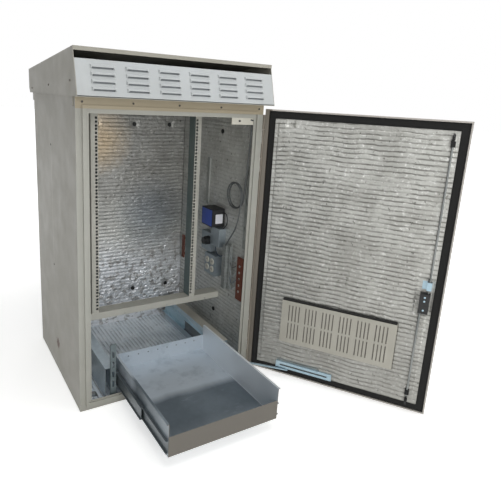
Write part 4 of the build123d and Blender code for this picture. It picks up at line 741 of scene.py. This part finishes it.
def foil_sheet(name, width, height, place, finish, body, seed, ribs=0.0030, depth=0.0013, wander=0.0035,
               squeeze=1.0, ease=0.014, low_edge=None, streaks=(), holes=(), presses=()):
    """A foil facing: local x is its width, local y its height and the ribs' spacing, local z outwards."""
    count = round(height / RIB_PITCH)
    shape = sheet_grid(width, height, count)
    counts = {}
    for vert in shape.verts:
        u, v = vert.co.x, vert.co.y
        turns = (v + rib_drift(u, v, seed, wander)) * count / height
        folds = depth * crease(Vector((u * CREASE_SCALE, v * CREASE_SCALE * squeeze, seed)))
        for start, end, reach, gain in streaks:
            folds *= 1.0 + gain * streak_at(u, v, start, end, reach)
        rise = rib_height(u, v, seed, turns % 1.0, ribs) + folds
        if low_edge:
            inside = min(u, width - u, v, height - v)
            rise = min(rise, low_edge + EDGE_SLOPE * max(0.0, inside - EDGE_BAND))
        vert.co.z = FOIL_LIFT + rise * pressed_flat(u, v, presses, ease)
        counts[vert.index] = (u / RIB_PITCH, turns + 1.0)
    layer = shape.loops.layers.uv.new("ribs")
    for face in shape.faces:
        for corner in face.loops:
            corner[layer].uv = counts[corner.vert.index]
    cut_holes(shape, holes)
    bmesh.ops.transform(shape, matrix=place, verts=shape.verts)
    if place.determinant() < 0:
        bmesh.ops.reverse_faces(shape, faces=shape.faces)
    sheet = link_mesh(name, shape)
    thicken(sheet, FOIL_GAUGE)
    sheet.data.materials.append(finished[finish])
    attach(sheet, body)
    print(name, len(sheet.data.polygons), "faces")


def axes(origin, across, up, out):
    """A matrix that carries local x, y and z to three directions at a point."""
    turn = Matrix((across, up, out)).transposed().to_4x4()
    return Matrix.Translation(origin) @ turn


def around(points, half):
    """Squares to press or cut, from their middles."""
    return [(u - half, u + half, v - half, v + half) for u, v in points]


def shifted(rectangles, u, v):
    """Rectangles counted from a sheet's own corner."""
    return [(left - u, right - u, low - v, high - v) for left, right, low, high in rectangles]


print("foil sheet")

# %% [markdown]
# The side sheets are pressed flat under the clips, and the right one also under all that is mounted on
# it. The rear one has two bands of deeper creases, one leaning and one level.

# %%
WALL_FACE = 0.373
REAR_FACE = 0.323
FRAME_BACK = -0.348
SHEET_FRONT = FRAME_BACK + 0.002
LINING_LOW = 0.0155
LINING_HEIGHT = 1.172
SIDE_DEPTH = 0.690
REAR_LEFT = -0.369
REAR_WIDTH = 0.738
CLIP_HALF = 0.012
CLIP_HIGH = 1.103
SIDE_CLIP_LOW = 0.192
REAR_CLIP_LOW = 0.205
MOUNTED = (
    (-0.331, -0.305, 0.585, 0.973),  # strut beside the jamb
    (0.013, 0.047, 0.728, 0.970),  # strut over the boxes
    (-0.339, -0.308, 0.333, 0.549),  # ground bar
    (-0.234, -0.170, 0.345, 0.592),  # terminals and their rail
    (-0.152, 0.032, 0.388, 0.642),  # boxes
    (-0.134, -0.028, 0.645, 0.740),  # power unit
    (0.250, 0.278, 0.333, 0.549),  # second copper bar
    (-0.348, -0.318, 1.15, 1.19),  # sensor
)
REAR_STREAKS = (((0.456, 0.205), (0.695, 0.480), 0.045, 1.2), ((0.240, 0.200), (0.700, 0.200), 0.140, 1.3))

side_clips = around([(y - SHEET_FRONT, z - LINING_LOW) for y in (-0.074, 0.210)
                     for z in (SIDE_CLIP_LOW, CLIP_HIGH)], CLIP_HALF)
foil_sheet("foil_right", SIDE_DEPTH, LINING_HEIGHT,
           axes((WALL_FACE, SHEET_FRONT, LINING_LOW), (0, 1, 0), (0, 0, 1), (-1, 0, 0)),
           foil_wall, "cabinet", 1.0, ribs=0.0022,
           presses=side_clips + shifted(MOUNTED, SHEET_FRONT, LINING_LOW))
foil_sheet("foil_left", SIDE_DEPTH, LINING_HEIGHT,
           axes((-WALL_FACE, SHEET_FRONT, LINING_LOW), (0, 1, 0), (0, 0, 1), (1, 0, 0)),
           foil_wall, "cabinet", 2.0, presses=side_clips)
rear_clips = around([(x - REAR_LEFT, z - LINING_LOW) for x in (-0.117, 0.081, 0.279)
                     for z in (REAR_CLIP_LOW, CLIP_HIGH)], CLIP_HALF)
foil_sheet("foil_rear", REAR_WIDTH, LINING_HEIGHT,
           axes((REAR_LEFT, REAR_FACE, LINING_LOW), (1, 0, 0), (0, 0, 1), (0, -1, 0)),
           foil_wall, "cabinet", 3.0, ribs=0.0022, depth=0.0026, streaks=REAR_STREAKS, presses=rear_clips)

# %% [markdown]
# The floor's ribs run from front to rear, so its sheets are turned. The narrow one in the front left
# corner leaves its anchor hole open, and the wide one leaves two open on its right.

# %%
FLOOR_FACE = 0.015
FLOOR_SIZE = (0.668, 0.66)
BOARD_LEFT = -0.292
CORNER_SIZE = (0.252, 0.076)
CORNER_LEFT = -0.371
ANCHOR_X = 0.330
ANCHOR_Y = 0.280
ANCHOR_HALF = 0.020
SUPPORT_LENGTH = 0.640
SUPPORT_FEET = ((-0.29, -0.24), (0.255, 0.31))

anchors = around([(y - SHEET_FRONT, ANCHOR_X - BOARD_LEFT) for y in (-ANCHOR_Y, ANCHOR_Y)], ANCHOR_HALF)
under_supports = [(0.0, SUPPORT_LENGTH, left - BOARD_LEFT, right - BOARD_LEFT)
                  for left, right in SUPPORT_FEET]
foil_sheet("foil_floor", *FLOOR_SIZE,
           axes((BOARD_LEFT, SHEET_FRONT, FLOOR_FACE), (0, 1, 0), (1, 0, 0), (0, 0, 1)),
           foil_floor, "cabinet", 4.0, ribs=0.0034, depth=0.0010, wander=0.0012, holes=anchors,
           presses=under_supports)
corner_anchor = around([(-ANCHOR_Y - SHEET_FRONT, -ANCHOR_X - CORNER_LEFT)], ANCHOR_HALF)
foil_sheet("foil_corner", *CORNER_SIZE,
           axes((CORNER_LEFT, SHEET_FRONT, FLOOR_FACE), (0, 1, 0), (1, 0, 0), (0, 0, 1)),
           foil_floor, "cabinet", 5.0, ribs=0.0034, depth=0.0016, wander=0.0012, holes=corner_anchor)

# %% [markdown]
# The door's sheet is drawn with the door closed and then swung open about the hinge, as the door's own
# solids are. It is looser than the others, so its ribs stand higher and wander more. It stays low along
# its edges, because the frame laps over them when the door is closed.

# %%
DOOR_ANGLE = math.radians(123.7)
SWING = Matrix.Translation(HINGE) @ Matrix.Rotation(DOOR_ANGLE, 4, "Z") @ Matrix.Translation(-HINGE)
DOOR_FACE = -0.3545
BOARD_LOW, BOARD_HIGH = 0.049, 1.184
HINGE_END, LATCH_END = 0.351, -0.363
DOOR_HOLES = (
    (-0.236, 0.234, 0.192, 0.372),  # filter
    (-0.341, -0.323, 0.496, 0.514),  # spindle
)
DOOR_PRESSES = (
    (-0.243, 0.241, 0.184, 0.390),  # filter cover
    (0.060, 0.320, BOARD_LOW, 0.085),  # stay channel
    (-0.355, -0.300, 0.455, 0.600),  # latch
    (0.270, 0.294, 1.155, 1.184),  # where the switch's plunger meets the door
)

foil_sheet("foil_door", HINGE_END - LATCH_END, BOARD_HIGH - BOARD_LOW,
           SWING @ axes((LATCH_END, DOOR_FACE, BOARD_LOW), (1, 0, 0), (0, 0, 1), (0, 1, 0)),
           foil_door, "door", 6.0, ribs=0.0050, depth=0.0014, wander=0.0060, squeeze=1.5, ease=0.008,
           low_edge=0.0028, holes=shifted(DOOR_HOLES, LATCH_END, BOARD_LOW),
           presses=shifted(DOOR_PRESSES, LATCH_END, BOARD_LOW))

# %% [markdown]
# ## Cable
# The grey cable comes down from the sensor at the top of the jamb, hangs in a loose coil of two turns
# and goes on to the terminals. Its line is a smooth NURBS spline on the same route as its solid.

# %%
CABLE_RADIUS = 0.0035
CABLE_X = WALL_FACE - 0.016
SENSOR_X = WALL_FACE - 0.018
SENSOR_Y = -0.3365
SENSOR_LOW = 1.162
COIL_Y = -0.252
COIL_Z = 0.828
COIL_RADIUS = 0.056
COIL_CORNERS = 12
COIL_GROWTH = 0.00017
COIL_STEP = 0.00075
BEVEL_STEPS = 3
SPLINE_STEPS = 8
SPLINE_ORDER = 3


def cord(name, points, radius, finish):
    """A round cord along one smooth spline, between two things on the cabinet."""
    data = bpy.data.curves.new(name, "CURVE")
    data.dimensions = "3D"
    data.bevel_depth = radius
    data.bevel_resolution = BEVEL_STEPS
    data.resolution_u = SPLINE_STEPS
    data.use_fill_caps = True
    spline = data.splines.new("NURBS")
    spline.points.add(len(points) - 1)
    for knot, point in zip(spline.points, points):
        knot.co = (*point, 1.0)
    spline.order_u = SPLINE_ORDER
    spline.use_endpoint_u = True
    data.materials.append(finish)
    piece = link_object(name, data)
    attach(piece, "cabinet")
    return piece


coil = []
for index in range(2 * COIL_CORNERS + 1):
    angle = math.pi + (index - 0.5) * 2 * math.pi / COIL_CORNERS
    reach = (COIL_RADIUS + COIL_GROWTH * index) / math.cos(math.pi / COIL_CORNERS)
    coil.append((CABLE_X - COIL_STEP * index, COIL_Y + reach * math.cos(angle),
                 COIL_Z + reach * math.sin(angle)))
end_x = coil[-1][0]
route = [
    (SENSOR_X, SENSOR_Y, SENSOR_LOW),
    (SENSOR_X, SENSOR_Y + 0.002, COIL_Z + 0.272),
    (SENSOR_X + 0.001, SENSOR_Y + 0.010, COIL_Z + 0.184),
    (SENSOR_X + 0.001, COIL_Y - 0.069, COIL_Z + 0.110),
    (CABLE_X, COIL_Y - 0.060, COIL_Z + 0.060),
    *coil,
    (end_x, COIL_Y - 0.0605, COIL_Z - 0.032),
    (end_x, COIL_Y - 0.051, COIL_Z - 0.093),
    (end_x, COIL_Y - 0.028, COIL_Z - 0.156),
    (end_x + 0.002, -0.240, 0.625),
    (end_x + 0.003, -0.204, 0.576),
]
coiled = cord("coiled_cable", route, CABLE_RADIUS, finished[cable_cover])
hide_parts("cable_loop")
print("coiled cable with", len(route), "points")

# %% [markdown]
# ## Short leads
# A black lead leaves the power unit and turns down to the boxes. A blue one hangs in a bow between a box
# and the terminals, and five thin wires run from the terminals to the ground bar.

# %%
POWER_ROUTE = [
    (0.366, -0.132, 0.718), (0.366, -0.148, 0.718), (0.365, -0.166, 0.708), (0.364, -0.173, 0.688),
    (0.363, -0.168, 0.664), (0.361, -0.154, 0.650), (0.359, -0.146, 0.640),
]
METER_ROUTE = [
    (0.352, -0.096, 0.548), (0.351, -0.098, 0.532), (0.349, -0.108, 0.514), (0.347, -0.130, 0.502),
    (0.346, -0.156, 0.503), (0.349, -0.168, 0.514), (0.356, -0.174, 0.528),
]
POWER_RADIUS, POWER_LENGTH = 0.0025, 0.103
METER_RADIUS, METER_LENGTH = 0.0022, 0.112
WIRE_HEIGHTS = (0.386, 0.422, 0.458, 0.494, 0.530)
WIRE_RADIUS = 0.0014
WIRE_SAG, SAG_STEP = 0.012, 0.006

lead_black = plastic("lead_black", "#1b1c1f", "#37393d", 0.5, 400.0).done()
lead_grey = plastic("lead_grey", "#8d9599", "#a9b0b3", 0.5, 400.0).done()
lead_blue = plastic("lead_blue", "#3c4a5c", "#5a6a7e", 0.5, 400.0).done()
cord("power_lead", POWER_ROUTE, POWER_RADIUS, lead_black)
cord("meter_lead", METER_ROUTE, METER_RADIUS, lead_blue)
wire_tones = (lead_grey, lead_blue, lead_grey, lead_black, lead_grey)
for index, (z, tone) in enumerate(zip(WIRE_HEIGHTS, wire_tones)):
    sag = WIRE_SAG + SAG_STEP * (index % 3)
    points = [(0.357, -0.230, z), (0.354, -0.240, z - 0.002), (0.349, -0.252, z - sag * 0.7),
              (0.346, -0.266, z - sag), (0.346, -0.279, z - sag * 0.5), (0.352, -0.287, z + 0.004),
              (0.358, -0.290, z + 0.006)]
    cord(f"ground_wire_{index}", points, WIRE_RADIUS, tone)
print("two leads and", len(WIRE_HEIGHTS), "wires")

# %% [markdown]
# ## Small trim
# Thin plates with rounded corners make the power unit's blank white label, the two slots in each outlet
# and the tab beside the door switch. The slots are dark plates that stand in for the shade in the openings.

# %%
LABEL_SIZE = (0.040, 0.046, 0.0006, 0.003)
LABEL_PLACE = (0.341, -0.1322, 0.688)
OUTLET_FACE = WALL_FACE - 0.042
OUTLETS_Y, OUTLETS_Z = -0.0755, 0.442
OUTLET_STEP_Y, OUTLET_STEP_Z = 0.023, 0.0195
SLOT_SIZE = (0.0022, 0.008, 0.0004, 0.0005)
SLOT_SHIFT = 0.005
SLOT_RISE = 0.002
TAB_SIZE = (0.016, 0.0055, 0.0016, 0.0015)
TAB_PLACE = (0.346, -0.3466, 1.171)
TAB_TURN = Matrix.Rotation(math.radians(-14), 4, "Z")


def add_piece(name, shape, finish, body):
    """A finished piece that rides on a body."""
    piece = link_mesh(name, shape)
    piece.data.materials.append(finish)
    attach(piece, body)
    return piece


def plate(name, size, place, finish):
    """A thin plate on a face; its size is width, height, gauge and corner radius."""
    width, height, gauge, corner = size
    shape = bmesh.new()
    bmesh.ops.create_grid(shape, x_segments=1, y_segments=1, size=0.5)
    bmesh.ops.scale(shape, vec=(width, height, 1.0), verts=shape.verts)
    bmesh.ops.bevel(shape, geom=shape.verts[:], offset=corner, segments=3, profile=0.5, affect="VERTICES",
                    material=-1)
    grown = bmesh.ops.extrude_face_region(shape, geom=shape.faces[:])
    lifted = [item for item in grown["geom"] if isinstance(item, bmesh.types.BMVert)]
    bmesh.ops.translate(shape, vec=(0, 0, gauge), verts=lifted)
    bmesh.ops.transform(shape, matrix=place, verts=shape.verts)
    bmesh.ops.recalc_face_normals(shape, faces=shape.faces)
    add_piece(name, shape, finish, "cabinet")


label_white = plastic("label_white", "#d8d9df", "#e8e8ec", 0.5, 900.0).done()
slot_dark = plastic("slot_dark", "#24262a", "#3a3c40", 0.6, 900.0).done()
plate("power_label", LABEL_SIZE, axes(LABEL_PLACE, (1, 0, 0), (0, 0, 1), (0, -1, 0)), label_white)
outlet_places = [(OUTLETS_Y + dy, OUTLETS_Z + dz) for dy in (-OUTLET_STEP_Y, OUTLET_STEP_Y)
                 for dz in (-OUTLET_STEP_Z, OUTLET_STEP_Z)]
# Painted shade: dark plates stand in for the shaded openings of the outlet slots.
for index, (y, z) in enumerate(outlet_places):
    for side, shift in (("a", -SLOT_SHIFT), ("b", SLOT_SHIFT)):
        slot_place = (OUTLET_FACE, y + shift, z + SLOT_RISE)
        plate(f"outlet_slot_{index}{side}", SLOT_SIZE, axes(slot_place, (0, 1, 0), (0, 0, 1), (-1, 0, 0)),
              slot_dark)
plate("switch_tab", TAB_SIZE, axes(TAB_PLACE, (1, 0, 0), (0, 0, 1), (0, -1, 0)) @ TAB_TURN, slot_dark)
print("label, switch tab and", 2 * len(outlet_places), "outlet slots")

# %% [markdown]
# Low domes make the rivets on the tray's rear lip, the two plugs in the left side and the three screws of
# the latch, which ride with the door.

# %%
LIP_LEFT, LIP_STEP, LIP_Y, LIP_Z = -0.19, 0.0475, -0.2065, 0.112
LIP_RIVETS = 9
LATCH_X, LATCH_FACE = -0.332, -0.3265
LATCH_HEIGHTS = (0.478, 0.516, 0.532)
DOME_SIDES, DOME_RINGS = 10, 6


def domes(name, places, radius, rise, out, body, finish):
    """Low domes on a face, as one piece."""
    shape = bmesh.new()
    turn = Vector(out).to_track_quat("Z", "Y").to_matrix().to_4x4()
    for place in places:
        made = bmesh.ops.create_uvsphere(shape, u_segments=DOME_SIDES, v_segments=DOME_RINGS, radius=radius)
        verts = made["verts"]
        bmesh.ops.scale(shape, vec=(1.0, 1.0, rise / radius), verts=verts)
        bmesh.ops.transform(shape, matrix=Matrix.Translation(place) @ turn, verts=verts)
    add_piece(name, shape, finish, body)


lip_places = [(LIP_LEFT + LIP_STEP * step, LIP_Y, LIP_Z) for step in range(LIP_RIVETS)]
domes("tray_rivets", lip_places, 0.0035, 0.0018, (0, -1, 0), "tray", finished[slide_steel])
side_places = [(SIDE_X, SIDE_MARK_Y, z) for z in SIDE_MARKS]
domes("side_plugs", side_places, 0.0048, 0.0012, (-1, 0, 0), "cabinet", slot_dark)
latch_places = [SWING @ Vector((LATCH_X, LATCH_FACE, z)) for z in LATCH_HEIGHTS]
door_inwards = SWING.to_3x3() @ Vector((0.0, 1.0, 0.0))
domes("latch_screws", latch_places, 0.0042, 0.0016, door_inwards, "door", finished[zinc])
print(LIP_RIVETS, "tray rivets,", len(side_places), "plugs and", len(latch_places), "latch screws")

# %% [markdown]
# A fine insect screen stands close behind the hood's louvres. It is a guess: the picture shows a soft
# grey in their mouths, not a dark space. It is a corrugated sheet, so that it isn't quite flat.

# %%
PANEL_FOOT = Vector((0.0, -0.411, 1.235))
PANEL_TOP = Vector((0.0, -0.369, 1.386))
SCREEN_HALF = 0.4035
SCREEN_LOW = 0.0090
SCREEN_HIGH = 0.1270
SCREEN_BEHIND = 0.0032
SCREEN_WAVE = 0.0004
SCREEN_ROWS = 60
SCREEN_GAUGE = 0.0005

panel_up = (PANEL_TOP - PANEL_FOOT).normalized()
panel_out = Vector((1.0, 0.0, 0.0)).cross(panel_up)
screen_height = SCREEN_HIGH - SCREEN_LOW
screen_middle = PANEL_FOOT + (SCREEN_LOW + screen_height / 2) * panel_up - SCREEN_BEHIND * panel_out
shape = bmesh.new()
bmesh.ops.create_grid(shape, x_segments=4, y_segments=SCREEN_ROWS, size=0.5)
for vert in shape.verts:
    row = round((vert.co.y + 0.5) * SCREEN_ROWS)
    vert.co = Vector((2 * SCREEN_HALF * vert.co.x, screen_height * vert.co.y, SCREEN_WAVE * (row % 2)))
bmesh.ops.transform(shape, matrix=axes(screen_middle, (1, 0, 0), panel_up, panel_out), verts=shape.verts)
screen_wire = metal("screen_wire", "#7f8487", "#6d7275", "#979c9f", 0.5, 90.0, metallic=0.1).done()
thicken(add_piece("louvre_screen", shape, screen_wire, "cabinet"), SCREEN_GAUGE)
print("insect screen")

# %% [markdown]
# ## World
# The world lights the object evenly. What the camera, mirrors and glass see of it is a plain pale tone,
# and the floor is lifted towards that tone in the same way while it keeps the cabinet's shadow.

# %%
GLOW_NEAR, GLOW_FAR = 1.0, 4.0
FLOOR_GLOW = 0.55
WORLD_TONE = (0.95, 0.97, 1.0, 1.0)
WORLD_STRENGTH = 0.20
WHITE = (1.0, 1.0, 1.0, 1.0)


def seen_directly(tree):
    """1 for camera, glossy and transmission rays."""
    path = tree.nodes.new("ShaderNodeLightPath")
    value = path.outputs["Is Camera Ray"]
    for name in ("Is Glossy Ray", "Is Transmission Ray"):
        node = tree.nodes.new("ShaderNodeMath")
        node.operation = "MAXIMUM"
        tree.links.new(value, node.inputs[0])
        tree.links.new(path.outputs[name], node.inputs[1])
        value = node.outputs[0]
    return value


floor_recipe = Recipe("floor_pale", "#e6e6e4", 0.8)
floor_recipe.clouds("#e0e0dd", 0.7, 3.0, 0.4, 0.7, 0.6)
away = floor_recipe.node("ShaderNodeVectorMath", {0: floor_recipe.place}, operation="LENGTH").outputs["Value"]
far_glow = floor_recipe.span(away, GLOW_NEAR, GLOW_FAR, FLOOR_GLOW, 1.0)
glow = floor_recipe.product(far_glow, seen_directly(floor_recipe.tree))
floor_recipe.tree.links.new(glow, floor_recipe.shader.inputs["Emission Strength"])
floor_recipe.shader.inputs["Emission Color"].default_value = WHITE
floor.data.materials.append(floor_recipe.done())
print("floor finish")

# %%
world = bpy.data.worlds.new("studio")
world.use_nodes = True
tree = world.node_tree
lit = tree.nodes["Background"]
lit.inputs["Color"].default_value = WORLD_TONE
lit.inputs["Strength"].default_value = WORLD_STRENGTH
seen = tree.nodes.new("ShaderNodeBackground")
seen.inputs["Color"].default_value = WHITE
blend = tree.nodes.new("ShaderNodeMixShader")
tree.links.new(seen_directly(tree), blend.inputs[0])
tree.links.new(lit.outputs[0], blend.inputs[1])
tree.links.new(seen.outputs[0], blend.inputs[2])
tree.links.new(blend.outputs[0], tree.nodes["World Output"].inputs[0])
bpy.context.scene.world = world
print("world")
